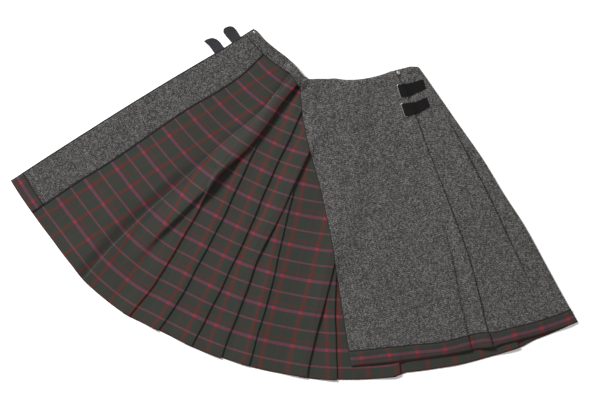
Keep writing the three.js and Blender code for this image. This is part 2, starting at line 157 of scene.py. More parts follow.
# A band of the back: the fold line before it, its own, and its fold edge's height against radius.
Band = namedtuple("Band", "name before fold crest first repeat guide")
BANDS = (
    Band("pleat_1", APRON_SEAM, FIRST_FOLD,
         line((231, 15), (400, 16), (470, 14), (520, 7), (570, 5.4), (840, 5.2)), 3, 50, "own"),
    Band("pleat_2", FIRST_FOLD, SECOND_FOLD,
         line((231, 4.4), (380, 4.6), (440, 5.2), (840, 5.2)), 16, 50, "own"),
    Band("pleat_3", SECOND_FOLD, THIRD_FOLD,
         line((231, 5.4), (500, 5.2), (840, 5.2)), 26, 50, "own"),
    Band("pleat_4", THIRD_FOLD, FOURTH_FOLD,
         line((231, 8), (430, 9.5), (520, 7.5), (600, 6), (840, 4.8)), 35, 50, "own"),
    Band("pleat_5", FOURTH_FOLD, WEDGE_FOLD,
         line((231, 4.4), (430, 4.6), (500, 5.2), (840, 5)), 15, 50, "own"),
    Band("pleat_6", WEDGE_FOLD, FIFTH_FOLD,
         line((231, 7), (540, 8), (640, 7.5), (840, 5.6)), 45, 58, "own"),
    Band("pleat_7", FIFTH_FOLD, SIXTH_FOLD, line((231, 6), (600, 6), (840, 5)), 21, 50, "own"),
    Band("pleat_8", SIXTH_FOLD, SEVENTH_FOLD, line((231, 6), (840, 6)), 5, 60.5, "before"),
    Band("pleat_9", SEVENTH_FOLD, EIGHTH_FOLD, line((231, 6), (840, 6)), 23, 58, "fan"),
    Band("pleat_10", EIGHTH_FOLD, RIGHT_FOLD, line((231, 2.2), (840, 2.2)), 5, 50, "own"),
)

# The first fold is a wide soft roll near the waist: its reach back from its edge
WIDE_ROLL = line((231, 13), (300, 15), (440, 15), (520, 4), (840, 3))

# The strap ends' two edges from the front edge to the tip
STRAP_REACH = 32.0
STRAP_THICKNESS = 2.3
STRAP_EDGES = {
    "strap_upper": (
        ((-141.5, 349.0), (-144.9, 352.8), (-154.4, 363.3), (-161.3, 372.8), (-160.5, 380.1),
         (-155.4, 383.7)),
        ((-122.5, 361.5), (-126, 365.4), (-133.4, 377), (-138.6, 383.9), (-143.9, 385.8),
         (-150.2, 385.6))),
    "strap_lower": (
        ((-179, 328), (-181.7, 331.8), (-190.1, 343.4), (-196.4, 349.7), (-201.2, 353.2),
         (-202, 354.9)),
        ((-158.5, 340), (-161.7, 343.4), (-169.1, 353.9), (-175.4, 359.1), (-184.8, 361.6),
         (-196.4, 358.1))),
}

# The buckle tabs: where each starts on the draft, its turn in degrees and its bow sideways
Tab = namedtuple("Tab", "name x y turn bow")
TABS = (Tab("upper", 208.5, 248.5, 17.0, -1.6), Tab("lower", 217.0, 209.0, 18.5, -3.0))
TAB_THICKNESS = 1.9
TAB_HALF_WIDTHS = (14.2, 10.2)
WIRE_RADIUS = 0.8

# Turned profiles of the press stud's halves, from the middle out: radius and height
STUD_PROFILE = ((0.6, 0.6), (1.1, 0.7), (1.5, 1.7), (1.9, 1.9), (2.3, 1.5), (2.6, 0.5), (3.1, 0.4),
                (3.5, 0.9), (3.9, 0.7), (4.1, 0.1))
MATE_PROFILE = ((0.5, 0.4), (1.0, 0.4), (1.3, 1.1), (1.8, 1.2), (2.3, 1.0), (2.7, 0.5), (2.8, 0.1))

# The under apron's check runs along its straight front edge
FRONT_TOP = (-119.7, 367.5)
FRONT_BOTTOM = (-604.8, 58.8)
FRONT_STRIPE = 96.0
FRONT_REPEAT = 46.0

# The check's sett, and the weft lines' radii for the line's number from the hem: a base less a
# step for each line plus a curve, all in one unit
WARP_SETT = 50.0
WEFT_SETT = 65.0
WEFT_UNIT = 2.1
WEFT_BASE = 370.0
WEFT_STEP = 34.3
WEFT_CURVE = 0.43
HEM_RADIUS = 399.5
WAIST_RADIUS = 150.0

# The hem bands' check: the first strong stripe from the left end, their repeat, and the thick
# weft line's place below the band's top
HEM_STRIPES = {"apron_hem_band": 23.0, "side_hem_band": 47.0}
HEM_REPEAT = 59.0
HEM_LINE = 16.5

# Which way the tweed's columns run on each piece, in degrees
FACING_GRAIN = 32.5
SIDE_GRAIN = 24.0
APRON_GRAIN = 6.0


def linear(code):
    """Linear colour from an sRGB hex value."""
    parts = [int(code[i:i + 2], 16) / 255 for i in (1, 3, 5)]
    return tuple(c / 12.92 if c <= 0.04045 else ((c + 0.055) / 1.055) ** 2.4 for c in parts)


def size_property(name, description, default, low, high):
    """A size, given in millimetres."""
    return bpy.props.FloatProperty(name=name, description=description, default=default * MM,
                                   min=low * MM, max=high * MM, unit="LENGTH")


def colour_property(name, description, code):
    """A colour, given as an sRGB hex value."""
    return bpy.props.FloatVectorProperty(name=name, description=description, subtype="COLOR",
                                         size=3, default=linear(code))


class KiltSizes(bpy.types.PropertyGroup):
    cloth: size_property("Cloth", "Thickness of the lined cloth", 1.25, 0.5, 3)
    trim: size_property("Trim", "Thickness of the facing and the hem bands", 0.8, 0.4, 2)
    waistband: size_property("Waistband", "Thickness of the inner waistband", 1.4, 0.5, 4)
    stitch: size_property("Stitch", "Length of a topstitch", 3.2, 1, 8)
    tab_length: size_property("Buckle tab", "Length of a buckle tab", 54, 30, 90)


class KiltColours(bpy.types.PropertyGroup):
    ground: colour_property("Check ground", "Green grey of the check", "#292e29")
    brown: colour_property("Check brown", "Browner squares of the check", "#2f2b28")
    scarlet: colour_property("Warp stripe", "Strong stripe of the warp", "#5e1812")
    magenta: colour_property("Weft stripe", "Thick stripe of the weft", "#713047")
    tweed_dark: colour_property("Tweed dark", "Dark yarn of the tweed", "#2c2c2b")
    tweed_light: colour_property("Tweed light", "Light yarn of the tweed", "#72706f")
    leather: colour_property("Leather", "Dyed leather of the tabs and straps", "#151415")


# Reading of the draft

def read(table, key, ease=RADIUS_EASE):
    """Softened straight-line reading of a table, so folds bend and do not kink."""
    return sum(np.interp(key + ease * part, table[:, 0], table[:, 1])
               for part in (-1, -0.5, 0, 0.5, 1)) / 5


def degrees(length, radius):
    """The angle that a length takes up along the arc at a radius."""
    return np.degrees(length / radius)


def arc(angle, radius):
    """The length that an angle takes up along the arc at a radius."""
    return np.radians(angle) * radius


def smooth(value):
    value = np.clip(value, 0, 1)
    return value * value * (3 - 2 * value)


def hump(distance, width):
    """A bell of height one."""
    return np.exp(-(distance / width) ** 2)


def flat_point(radius, angle):
    turn = np.radians(angle)
    return FAN_X + radius * np.cos(turn), FAN_Y + radius * np.sin(turn)


def unevenness(x, y, scale, seed):
    """Soft seeded noise of about one unit over the draft, from a small lattice of heights."""
    size = 64
    lattice = np.random.default_rng(seed).uniform(-1, 1, (size, size))
    u = np.asarray(x) / scale + size / 2
    v = np.asarray(y) / scale + size / 2
    i = np.clip(np.floor(u).astype(int), 0, size - 2)
    j = np.clip(np.floor(v).astype(int), 0, size - 2)
    across = smooth(u - i)
    down = smooth(v - j)
    low = lattice[j, i] * (1 - across) + lattice[j, i + 1] * across
    high = lattice[j + 1, i] * (1 - across) + lattice[j + 1, i + 1] * across
    return low * (1 - down) + high * down


def wobble(radius, seed):
    """How far a fold strays from its line, in two slow waves."""
    return 0.7 * np.sin(radius / 31 + seed) + 0.4 * np.sin(radius / 13.7 + 2.3 * seed)


def between(left, right, count):
    """Columns spread evenly between two columns, both ends among them."""
    return [lambda r, s=s: (1 - s) * left(r) + s * right(r) for s in np.linspace(0, 1, count)]


def beside(table, offset=0.0):
    """A column a set distance to the right of a fold line."""
    return lambda r: read(table, r) + degrees(offset, r)


def roll_turns(steps):
    """Angles round a fold's edge, from just past its top to its underside."""
    return np.radians(np.linspace(90, -90, steps + 1)[1:])


def row_shares(radial, step):
    """Row positions so that rows lie about one step apart along each run from edge to edge."""
    least = 6
    shares = []
    for k in range(len(radial) - 1):
        length = abs(np.mean(radial[k + 1][:, 1]) - np.mean(radial[k][:, 1]))
        count = max(int(length / step), least)
        shares += list(k + np.linspace(0, 1, count, endpoint=False))
    return shares + [len(radial) - 1]


class Grid:
    """Places on the draft, in rows from waist to hem and columns from left to right. Columns are
    functions of radius, and radial holds the edges that the rows are spread between."""

    def __init__(self, columns, radial, step=ROW_STEP):
        self.shares = np.asarray(row_shares(radial, step), float)
        self.radius, self.angle = self.settled(columns, radial)
        self.x, self.y = flat_point(self.radius, self.angle)

    def settled(self, columns, radial):
        """Radius and angle of each place, found by going to and fro between columns and edges."""
        rows = np.arange(len(self.shares))
        stage = np.minimum(self.shares.astype(int), len(radial) - 2)
        part = (self.shares - stage)[:, None]
        radius = np.full((len(rows), len(columns)), 500.0)
        for _ in range(SETTLING_TURNS):
            angle = np.stack([column(radius[:, k]) for k, column in enumerate(columns)], axis=1)
            stops = np.stack([read(edge, angle, ANGLE_EASE) for edge in radial])
            low = stops[stage, rows]
            high = stops[stage + 1, rows]
            radius = low + part * (high - low)
        return radius, angle

    def right_of(self, table):
        """How far each place lies to the right of a fold line."""
        return arc(self.angle - read(table, self.radius), self.radius)

    def width(self, left, right):
        """How far apart two fold lines are at each place's radius."""
        return arc(read(right, self.radius) - read(left, self.radius), self.radius)

    def above(self, hem):
        """How far each place is from the hem."""
        return read(hem, self.angle, ANGLE_EASE) - self.radius

    def waves(self, length, seed):
        return unevenness(self.x, self.y, length, seed)

    def level(self, field):
        """Height of a raster under each place."""
        return rest_on(field, self.x, self.y)

    def first_row(self, share):
        return int(np.argmax(self.shares >= share))


# The heights of what is already laid, in a raster over the draft

CELL = 3.0
RASTER_X = -650.0
RASTER_Y = -420.0
RASTER_WIDE = 440
RASTER_HIGH = 290
laid_top = np.zeros((RASTER_HIGH, RASTER_WIDE))

# The upper faces of the laid pieces, which the trim and the stitching lie on
upper_faces = {}


def finer(grid):
    """The grid with its midpoints, so no raster cell is missed."""
    rows = np.empty((2 * grid.shape[0] - 1, grid.shape[1]))
    rows[::2] = grid
    rows[1::2] = (grid[1:] + grid[:-1]) / 2
    both = np.empty((rows.shape[0], 2 * rows.shape[1] - 1))
    both[:, ::2] = rows
    both[:, 1::2] = (rows[:, 1:] + rows[:, :-1]) / 2
    return both


def lay_down(x, y, height):
    """Raise the raster to the heights of a grid of places."""
    column = ((finer(x) - RASTER_X) / CELL).astype(int)
    row = ((finer(y) - RASTER_Y) / CELL).astype(int)
    cells = (np.clip(row, 0, RASTER_HIGH - 1), np.clip(column, 0, RASTER_WIDE - 1))
    np.maximum.at(laid_top, cells, finer(height))


def spread_top(reach, blur):
    """The raster widened by reach and softened by blur, both in cells."""
    field = laid_top.copy()
    for _ in range(reach):
        for axis in (0, 1):
            field = np.maximum(field, np.maximum(np.roll(field, 1, axis), np.roll(field, -1, axis)))
    for _ in range(blur):
        for axis in (0, 1):
            field = (np.roll(field, 1, axis) + 2 * field + np.roll(field, -1, axis)) / 4
    return field


def rest_on(field, x, y):
    """Height of a raster at places of the draft, straight between cell middles."""
    u = np.clip((x - RASTER_X) / CELL - 0.5, 0, RASTER_WIDE - 1.01)
    v = np.clip((y - RASTER_Y) / CELL - 0.5, 0, RASTER_HIGH - 1.01)
    i = u.astype(int)
    j = v.astype(int)
    across = u - i
    down = v - j
    low = field[j, i] * (1 - across) + field[j, i + 1] * across
    high = field[j + 1, i] * (1 - across) + field[j + 1, i + 1] * across
    return low * (1 - down) + high * down


def evened(levels, reach=3):
    """Levels along a fold raised to their neighbours' and softened, so the fold has no spikes."""
    padded = np.pad(levels, reach, mode="edge")
    window = np.lib.stride_tricks.sliding_window_view(padded, 2 * reach + 1)
    padded = np.pad(window.max(axis=1), reach, mode="edge")
    return np.lib.stride_tricks.sliding_window_view(padded, 2 * reach + 1).mean(axis=1)


def roll_under(height, main, edge_top, low, turns):
    """Set the heights round a fold's edge and of the tuck under it, in the columns past main."""
    drop = (1 - np.sin(turns)) / 2
    height[:, main:main + len(turns)] = edge_top[:, None] - np.outer(edge_top - low, drop)
    height[:, main + len(turns):] = np.reshape(low, (-1, 1))


def crease(gap, rise_width, drop_width, dip, dip_width):
    """A crease's profile across: a long rise up to its edge, a short drop past it, then a dip."""
    rise = np.where(gap < 0, hump(gap, rise_width), 0)
    fallen = smooth(gap / drop_width)
    past = np.where(gap >= 0, 1 - fallen - dip * fallen * hump(gap, dip_width), 0)
    return rise + past


# Meshes

def origin():
    """The draft's zero in the row frame, from the press stud that the frame carries."""
    low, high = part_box("press_stud")
    return np.array([(low[0] + high[0]) / 2 - STUD[0] * MM, (low[1] + high[1]) / 2 - STUD[1] * MM, 0])


def place(x, y, z):
    return np.stack([x, y, z], axis=-1) * MM + origin()


def grid_normals(points):
    normal = np.cross(np.gradient(points, axis=0), np.gradient(points, axis=1))
    return unit(normal)


def unit(vectors):
    return vectors / np.maximum(np.linalg.norm(vectors, axis=-1, keepdims=True), 1e-12)


def run_across(points):
    """Length along each row of a grid of points, from its first column."""
    steps = np.linalg.norm(np.diff(points, axis=1), axis=-1)
    return np.concatenate([np.zeros((len(points), 1)), np.cumsum(steps, axis=1)], axis=1)


def new_object(name, vertices, faces, materials, kinds=None, uvs=None, smoothed=None):
    mesh = bpy.data.meshes.new(name)
    mesh.from_pydata(vertices.tolist(), [], faces)
    for material in materials:
        mesh.materials.append(material)
    if kinds is not None:
        mesh.polygons.foreach_set("material_index", np.asarray(kinds, dtype=np.int32))
    flags = np.ones(len(mesh.polygons), dtype=bool) if smoothed is None else smoothed
    mesh.polygons.foreach_set("use_smooth", flags)
    if uvs is not None:
        layer = mesh.uv_layers.new(name="weave")
        index = np.empty(len(mesh.loops), dtype=np.int32)
        mesh.loops.foreach_get("vertex_index", index)
        layer.data.foreach_set("uv", np.asarray(uvs, dtype=np.float32)[index].ravel())
    mesh.update()
    piece = bpy.data.objects.new(name, mesh)
    bpy.context.scene.collection.objects.link(piece)
    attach(piece, "root")
    return piece


def wall(name, points, thickness, materials, uv, normals=None, rim_kind=0):
    """A closed thin wall under a grid of upper-face points. Its faces take the first material,
    but for the underside and a rim of kind 1, which take the second where there is one."""
    rows, columns = points.shape[:2]
    normals = grid_normals(points) if normals is None else normals
    lower = points - normals * thickness
    index = np.arange(rows * columns).reshape(rows, columns)
    a, b = index[:-1, :-1], index[1:, :-1]
    c, d = index[1:, 1:], index[:-1, 1:]
    upper_quads = np.stack([a, b, c, d], axis=-1).reshape(-1, 4)
    lower_quads = np.stack([a, d, c, b], axis=-1).reshape(-1, 4) + rows * columns
    ring = np.concatenate([index[:, 0], index[-1, 1:], index[-2::-1, -1], index[0, -2:0:-1]])
    low_ring = ring + rows * columns
    rim = np.stack([ring, low_ring, np.roll(low_ring, -1), np.roll(ring, -1)], axis=-1)
    counts = (len(upper_quads), len(lower_quads), len(rim))
    kinds = np.repeat((0, 1, rim_kind) if len(materials) > 1 else (0, 0, 0), counts)
    smoothed = np.repeat((True, True, False), counts)
    vertices = np.concatenate([points.reshape(-1, 3), lower.reshape(-1, 3)])
    faces = np.concatenate([upper_quads, lower_quads, rim]).tolist()
    uvs = np.tile(uv.reshape(-1, 2), (2, 1))
    return new_object(name, vertices, faces, materials, kinds, uvs, smoothed)


def tube(path, normals, half_width, half_height, sides=8):
    """Vertices and faces of a flattened closed tube along a path."""
    path = np.asarray(path, float)
    along = unit(np.gradient(path, axis=0))
    side = unit(np.cross(along, normals))
    up = np.cross(side, along)
    turns = np.linspace(0, 2 * np.pi, sides, endpoint=False)
    rings = (path[:, None] + side[:, None] * (half_width * np.cos(turns))[None, :, None]
             + up[:, None] * (half_height * np.sin(turns))[None, :, None])
    faces = []
    for i in range(len(path) - 1):
        for k in range(sides):
            n = (k + 1) % sides
            faces.append((i * sides + k, i * sides + n, (i + 1) * sides + n, (i + 1) * sides + k))
    faces.append(tuple(range(sides))[::-1])
    faces.append(tuple(range((len(path) - 1) * sides, len(path) * sides)))
    return rings.reshape(-1, 3), faces


def turned_cap(profile, x, y, z, steps=40):
    """Vertices and faces of a closed cap turned from a profile of radii and heights."""
    turns = np.linspace(0, 2 * np.pi, steps, endpoint=False)
    rings = [np.stack([x + r * np.cos(turns), y + r * np.sin(turns), np.full(steps, z + h)], axis=1)
             for r, h in profile]
    faces = []
    for k in range(len(profile) - 1):
        for i in range(steps):
            n = (i + 1) % steps
            faces.append((k * steps + i, (k + 1) * steps + i, (k + 1) * steps + n, k * steps + n))
    faces.append(tuple(range(steps)))
    faces.append(tuple(range((len(profile) - 1) * steps, len(profile) * steps))[::-1])
    return np.concatenate(rings) * MM + origin(), faces


def joined(name, parts, material):
    """One object from several lots of vertices and faces."""
    vertices = []
    faces = []
    count = 0
    for points, quads in parts:
        vertices.append(points)
        faces += [tuple(k + count for k in quad) for quad in quads]
        count += len(points)
    return new_object(name, np.concatenate(vertices), faces, [material])


# Materials

BLACK = (0.0, 0.0, 0.0)
WHITE = (1.0, 1.0, 1.0)

# Sizes in the weaves, in millimetres. Worsted threads lie 0.5 mm apart and the tweed's slant rows
# 1.5 mm, too fine to show from above, so the twill and the rows are drawn coarser.
TWILL = 2.6
SLANT_ROW = 4.4
TWEED_COLUMN = 11.0

# How many grains come to a metre: flecks and fibres of nearly 2 mm, tufts of nap of 6 mm, and
# patches of 33 and 71 mm
FLECKS = 520
FIBRES = 620
NAP = 170
TWEED_PATCHES = 30
CHECK_PATCHES = 14


def per_metre(length):
    """How many lengths given in millimetres go into a metre."""
    return 1 / (length * MM)


def set_inputs(node, inputs):
    """Values and links of a node's inputs, given by name or in order."""
    for key, value in inputs.items() if isinstance(inputs, dict) else enumerate(inputs):
        if isinstance(value, bpy.types.NodeSocket):
            node.id_data.links.new(value, node.inputs[key])
        else:
            node.inputs[key].default_value = value


def add_node(tree, kind, inputs=(), output=0, stops=(), **settings):
    """A new node with its settings, ramp stops, values and links. Gives one of its outputs."""
    node = tree.nodes.new("ShaderNode" + kind)
    for name, value in settings.items():
        setattr(node, name, value)
    if stops:
        points = node.color_ramp.elements
        while len(points) < len(stops):
            points.new(0.5)
        for point, (position, colour) in zip(points, stops):
            point.position = position
            point.color = (*colour, 1.0)
    set_inputs(node, inputs)
    return node.outputs[output]


def new_material(name):
    """A material with its shader, and the function that adds nodes to its tree."""
    material = bpy.data.materials.new(name)
    material.use_nodes = True
    tree = material.node_tree
    tree.nodes.clear()
    shader = add_node(tree, "BsdfPrincipled").node
    set_inputs(tree.nodes.new("ShaderNodeOutputMaterial"), (shader.outputs[0],))
    return material, shader, partial(add_node, tree)


def mixed(first, second, share):
    return tuple(a * (1 - share) + b * share for a, b in zip(first, second))


def sett_stops(sett, *rows):
    """Ramp stops from places in millimetres along a sett."""
    return [(at / sett, colour) for at, colour in rows]


def worsted_check():
    """Woven wool worsted in a check: matt, soft-edged stripes that mix half and half where warp
    and weft cross, with a faint diagonal rib from the twill."""
    colours = bpy.context.scene.kilt_colours
    ground, brown = tuple(colours.ground), tuple(colours.brown)
    scarlet, magenta = tuple(colours.scarlet), tuple(colours.magenta)
    maroon = mixed(ground, scarlet, 0.42)
    rust = mixed(brown, scarlet, 0.3)
    purple = mixed(magenta, linear("#4a3858"), 0.5)
    pink = mixed(ground, linear("#8c3c52"), 0.6)
    material, shader, node = new_material("wool_worsted_woven_check")
    layer = node("UVMap", uv_map="weave")
    across = node("SeparateXYZ", (layer,))
    along = across.node.outputs[1]
    warp = node("Math", (across, per_metre(WARP_SETT), 0.5), operation="MULTIPLY_ADD")
    warp = node("Math", (warp,), operation="FRACT")
    weft = node("Math", (along, per_metre(WEFT_SETT), 0.5), operation="MULTIPLY_ADD")
    weft = node("Math", (weft,), operation="FRACT")
    warp_colour = node("ValToRGB", (warp,), stops=sett_stops(
        WARP_SETT, (0, maroon), (1.1, maroon), (1.7, ground), (18, ground), (19, rust),
        (21.5, mixed(brown, scarlet, 0.34)), (22.35, scarlet), (24.4, scarlet),
        (25, mixed(brown, scarlet, 0.62)), (25.75, scarlet), (27.5, scarlet), (28.35, brown),
        (45, brown), (48.3, ground), (48.9, maroon)))
    weft_colour = node("ValToRGB", (weft,), stops=sett_stops(
        WEFT_SETT, (0, pink), (1.3, pink), (2.08, ground), (28.6, ground), (29.25, purple),
        (30.55, magenta), (33.8, magenta), (34.78, purple), (35.62, brown), (39.65, brown),
        (40.63, rust), (46.15, mixed(brown, scarlet, 0.28)), (47.13, ground), (63.05, ground),
        (63.83, pink)))

    # The twill and the fibres settle whether a spot shows its warp or its weft
    diagonal = node("Math", (across, along), operation="ADD")
    rib = node("Math", (diagonal, math.tau * per_metre(TWILL)), operation="MULTIPLY")
    rib = node("Math", (rib,), operation="SINE")
    fibre = node("TexNoise", {"Vector": layer, "Scale": FIBRES, "Detail": 2.0,
                              "Roughness": 0.6})
    stray = node("Math", (fibre, 0.5, -0.25), operation="MULTIPLY_ADD")
    share = node("Math", (rib, 0.16, 0.5), operation="MULTIPLY_ADD")
    share = node("Math", (share, stray), operation="ADD")

    # The milled nap blurs the stripes unevenly, the warp's most
    nap = node("TexNoise", {"Vector": layer, "Scale": NAP, "Detail": 3.0, "Roughness": 0.7})
    hold = node("Math", (nap, 2.6, -0.45), operation="MULTIPLY_ADD")
    warp_colour = node("Mix", {0: hold, 6: (*mixed(ground, brown, 0.5), 1), 7: warp_colour}, 2,
                       data_type="RGBA")
    hold = node("Math", (nap, 1.6, 0.07), operation="MULTIPLY_ADD")
    weft_colour = node("Mix", {0: hold, 6: (*ground, 1), 7: weft_colour}, 2, data_type="RGBA")
    woven = node("Mix", {0: share, 6: warp_colour, 7: weft_colour}, 2, data_type="RGBA")

    # Both yarns are bright where the strong stripes cross, so the crossing stands out
    on_warp = node("ValToRGB", (warp,), stops=sett_stops(
        WARP_SETT, (21.5, BLACK), (23, WHITE), (27, WHITE), (28.5, BLACK)))
    on_weft = node("ValToRGB", (weft,), stops=sett_stops(
        WEFT_SETT, (28.6, BLACK), (29.9, WHITE), (34.45, WHITE), (35.75, BLACK)))
    both = node("Math", (on_warp, on_weft), operation="MULTIPLY")
    both = node("Math", (both, 0.45), operation="MULTIPLY")
    woven = node("Mix", {0: both, 6: woven, 7: (*linear("#8e2438"), 1)}, 2, data_type="RGBA")

    # Wear and dye leave the cloth a little lighter in some places than in others
    patch = node("TexNoise", {"Vector": layer, "Scale": CHECK_PATCHES, "Detail": 3.0})
    shade = node("Math", (patch, 0.22, 0.89), operation="MULTIPLY_ADD")
    shade = node("Math", (shade, stray), operation="ADD")
    colour = node("Mix", {0: 1.0, 6: woven, 7: shade}, 2, data_type="RGBA", blend_type="MULTIPLY")
    relief = node("Math", (rib, 0.5, fibre), operation="MULTIPLY_ADD")
    set_inputs(shader, {
        "Base Color": colour, "Roughness": 0.92, "Specular IOR Level": 0.2,
        "Sheen Weight": 0.03, "Sheen Roughness": 0.6,
        "Normal": node("Bump", {"Height": relief, "Strength": 0.35, "Distance": 0.2 * MM})})
    return material


def herringbone_tweed(name, lightness=1.0):
    """Carded wool tweed in a small herringbone: salt-and-pepper flecks in short slanted streaks,
    matt and a little hairy, with a few green-yellow and purple fibres in the grey."""
    colours = bpy.context.scene.kilt_colours
    dark = tuple(c * lightness for c in colours.tweed_dark)
    light = tuple(c * lightness for c in colours.tweed_light)
    straw = linear("#a9a67a")
    heather = linear("#b79bb8")
    material, shader, node = new_material(name)
    layer = node("UVMap", uv_map="weave")
    across = node("SeparateXYZ", (layer,))
    along = across.node.outputs[1]

    # The slant turns about from each column to the next
    column = node("Math", (across, per_metre(TWEED_COLUMN)), operation="MULTIPLY")
    column = node("Math", (column,), operation="FLOOR")
    side = node("Math", (column, 1.0), operation="PINGPONG")
    side = node("Math", (side, 0.8, -0.4), operation="MULTIPLY_ADD")
    slant = node("Math", (across, side, along), operation="MULTIPLY_ADD")
    narrowed = node("Math", (across, 0.8), operation="MULTIPLY")
    streak = node("CombineXYZ", (slant, narrowed, column))
    fleck = node("TexVoronoi", {"Vector": streak, "Scale": FLECKS}, "Color")
    chance = node("SeparateColor", (fleck,))
    rows = node("Math", (slant, math.tau * per_metre(SLANT_ROW)), operation="MULTIPLY")
    rows = node("Math", (rows,), operation="SINE")

    # Light or dark yarn, by the fleck's chance, its row and a slow drift over the cloth
    patch = node("TexNoise", {"Vector": layer, "Scale": TWEED_PATCHES, "Detail": 2.0})
    drift = node("Math", (patch, 0.12), operation="MULTIPLY")
    share = node("Math", (rows, 0.13, drift), operation="MULTIPLY_ADD")
    share = node("Math", (chance, 0.78, share), operation="MULTIPLY_ADD")
    share = node("Math", (share, 0.0), operation="MAXIMUM")
    share = node("Math", (share, 1.7), operation="POWER")
    wool = node("Mix", {0: share, 6: (*dark, 1), 7: (*light, 1)}, 2, data_type="RGBA")
    tint = node("ValToRGB", (chance.node.outputs[1],), stops=(
        (0.0, straw), (0.1, straw), (0.12, WHITE), (0.86, WHITE), (0.88, heather), (1.0, heather)))
    wool = node("Mix", {0: 0.55, 6: wool, 7: tint}, 2, data_type="RGBA", blend_type="MULTIPLY")
    relief = node("Math", (rows, chance), operation="ADD")
    set_inputs(shader, {
        "Base Color": wool, "Roughness": 0.95, "Specular IOR Level": 0.15,
        "Sheen Weight": 0.04, "Sheen Roughness": 0.5,
        "Normal": node("Bump", {"Height": relief, "Strength": 0.4, "Distance": 0.2 * MM})})
    return material


def grained(name, colour, grains, contrast, relief, roughness, specular=0.3, metallic=0.0):
    """A surface whose colour and relief come from one grain: how many come to a metre, and its
    relief in millimetres."""
    material, shader, node = new_material(name)
    places = node("TexCoord", output="Object")
    noise = node("TexNoise", {"Vector": places, "Scale": grains, "Detail": 3.0})
    low = tuple(c * (1 - contrast) for c in colour)
    high = tuple(min(c * (1 + contrast), 1) for c in colour)
    set_inputs(shader, {
        "Base Color": node("ValToRGB", (noise,), stops=((0.35, low), (0.65, high))),
        "Roughness": roughness, "Specular IOR Level": specular, "Metallic": metallic,
        "Normal": node("Bump", {"Height": noise, "Strength": 0.3, "Distance": relief * MM})})
    return material


def drum_dyed_leather():
    """Black leather, drum dyed and pressed smooth: near black with a low gloss and fine pores."""
    colour = tuple(bpy.context.scene.kilt_colours.leather)
    return grained("leather_black_drum_dyed", colour, 900, 0.35, 0.1, 0.75, 0.06)


def worn_strap_leather():
    """The same black leather rubbed by the buckle: greyer and drier."""
    return grained("leather_black_worn", linear("#2f2e31"), 700, 0.4, 0.2, 0.8, 0.1)


def leather_flesh_side():
    """The cut edge and underside of the leather: paler, fibrous and matt."""
    return grained("leather_flesh_side", linear("#6b6866"), 600, 0.3, 0.2, 0.9)


def drawn_steel():
    """Nickel-plated drawn steel wire: bright, slightly brushed."""
    return grained("steel_nickel_plated", linear("#aeaca7"), 1500, 0.12, 0.03, 0.4, 0.5, 1.0)


def overlock_thread():
    """Spun polyester thread, overlocked along raw edges: near black and matt. Along the hem bands'
    tops it also paints the shadow line above each band.
    """
    return grained("thread_overlocked_dark", linear("#1f1e20"), 700, 0.4, 0.2, 0.95)


def topstitch_thread():
    """Spun thread of the topstitching: mid grey and matt."""
    return grained("thread_topstitch_grey", linear("#5d595a"), 900, 0.3, 0.1, 0.9)


def studio_paper():
    """Seamless white paper: matt with a barely seen grain."""
    return grained("paper_white_seamless", linear("#fbfbfb"), 60, 0.005, 0.01, 0.95)


MAKERS = {
    "tartan": worsted_check,
    "tweed": lambda: herringbone_tweed("wool_tweed_herringbone"),
    "facing": lambda: herringbone_tweed("wool_tweed_facing", 0.9),
    "leather": drum_dyed_leather,
    "strap": worn_strap_leather,
    "flesh": leather_flesh_side,
    "steel": drawn_steel,
    "overlock": overlock_thread,
    "topstitch": topstitch_thread,
    "paper": studio_paper,
}
made = {}


def finishes(*kinds):
    """The materials of these kinds, each made once."""
    for kind in kinds:
        if kind not in made:
            made[kind] = MAKERS[kind]()
    return [made[kind] for kind in kinds]


# Cloth coordinates of the check and of the tweed, in metres

def weft_length(radius, angle):
    """Length along the warp, counted in weft lines from the hem."""
    units = radius / WEFT_UNIT
    stretch = smooth((units - WAIST_RADIUS) / (HEM_RADIUS - WAIST_RADIUS))
    units = units - (read(BACK_HEM, angle, ANGLE_EASE) / WEFT_UNIT - HEM_RADIUS) * stretch
    root = np.sqrt(np.maximum(WEFT_STEP ** 2 - 4 * WEFT_CURVE * (WEFT_BASE - units), 1))
    return (WEFT_STEP - root) / (2 * WEFT_CURVE) * WEFT_SETT * MM


def check_uv(across, repeat, along):
    return np.stack([across / repeat * WARP_SETT * MM, along], axis=-1)


def tweed_uv(x, y, turn):
    cosine, sine = math.cos(math.radians(turn)), math.sin(math.radians(turn))
    return np.stack([x * cosine + y * sine, y * cosine - x * sine], axis=-1) * MM


def cut_size(left, right, waist, hem, hidden):
    """Flat size in metres, and area, of a band cut from its edges with its hidden parts."""
    middle_radius = 600
    stations = 40
    middle = (read(left, middle_radius) + read(right, middle_radius)) / 2
    radii = np.linspace(read(waist, middle, ANGLE_EASE), read(hem, middle, ANGLE_EASE), stations)
    wide = arc(read(right, radii) - read(left, radii), radii) + hidden
    length = radii[-1] - radii[0]
    return (float(wide.max()) * MM, float(length) * MM), float(wide.mean() * length) * MM * MM


def cloth_thickness():
    return bpy.context.scene.kilt_sizes.cloth / MM


# Pieces of cloth

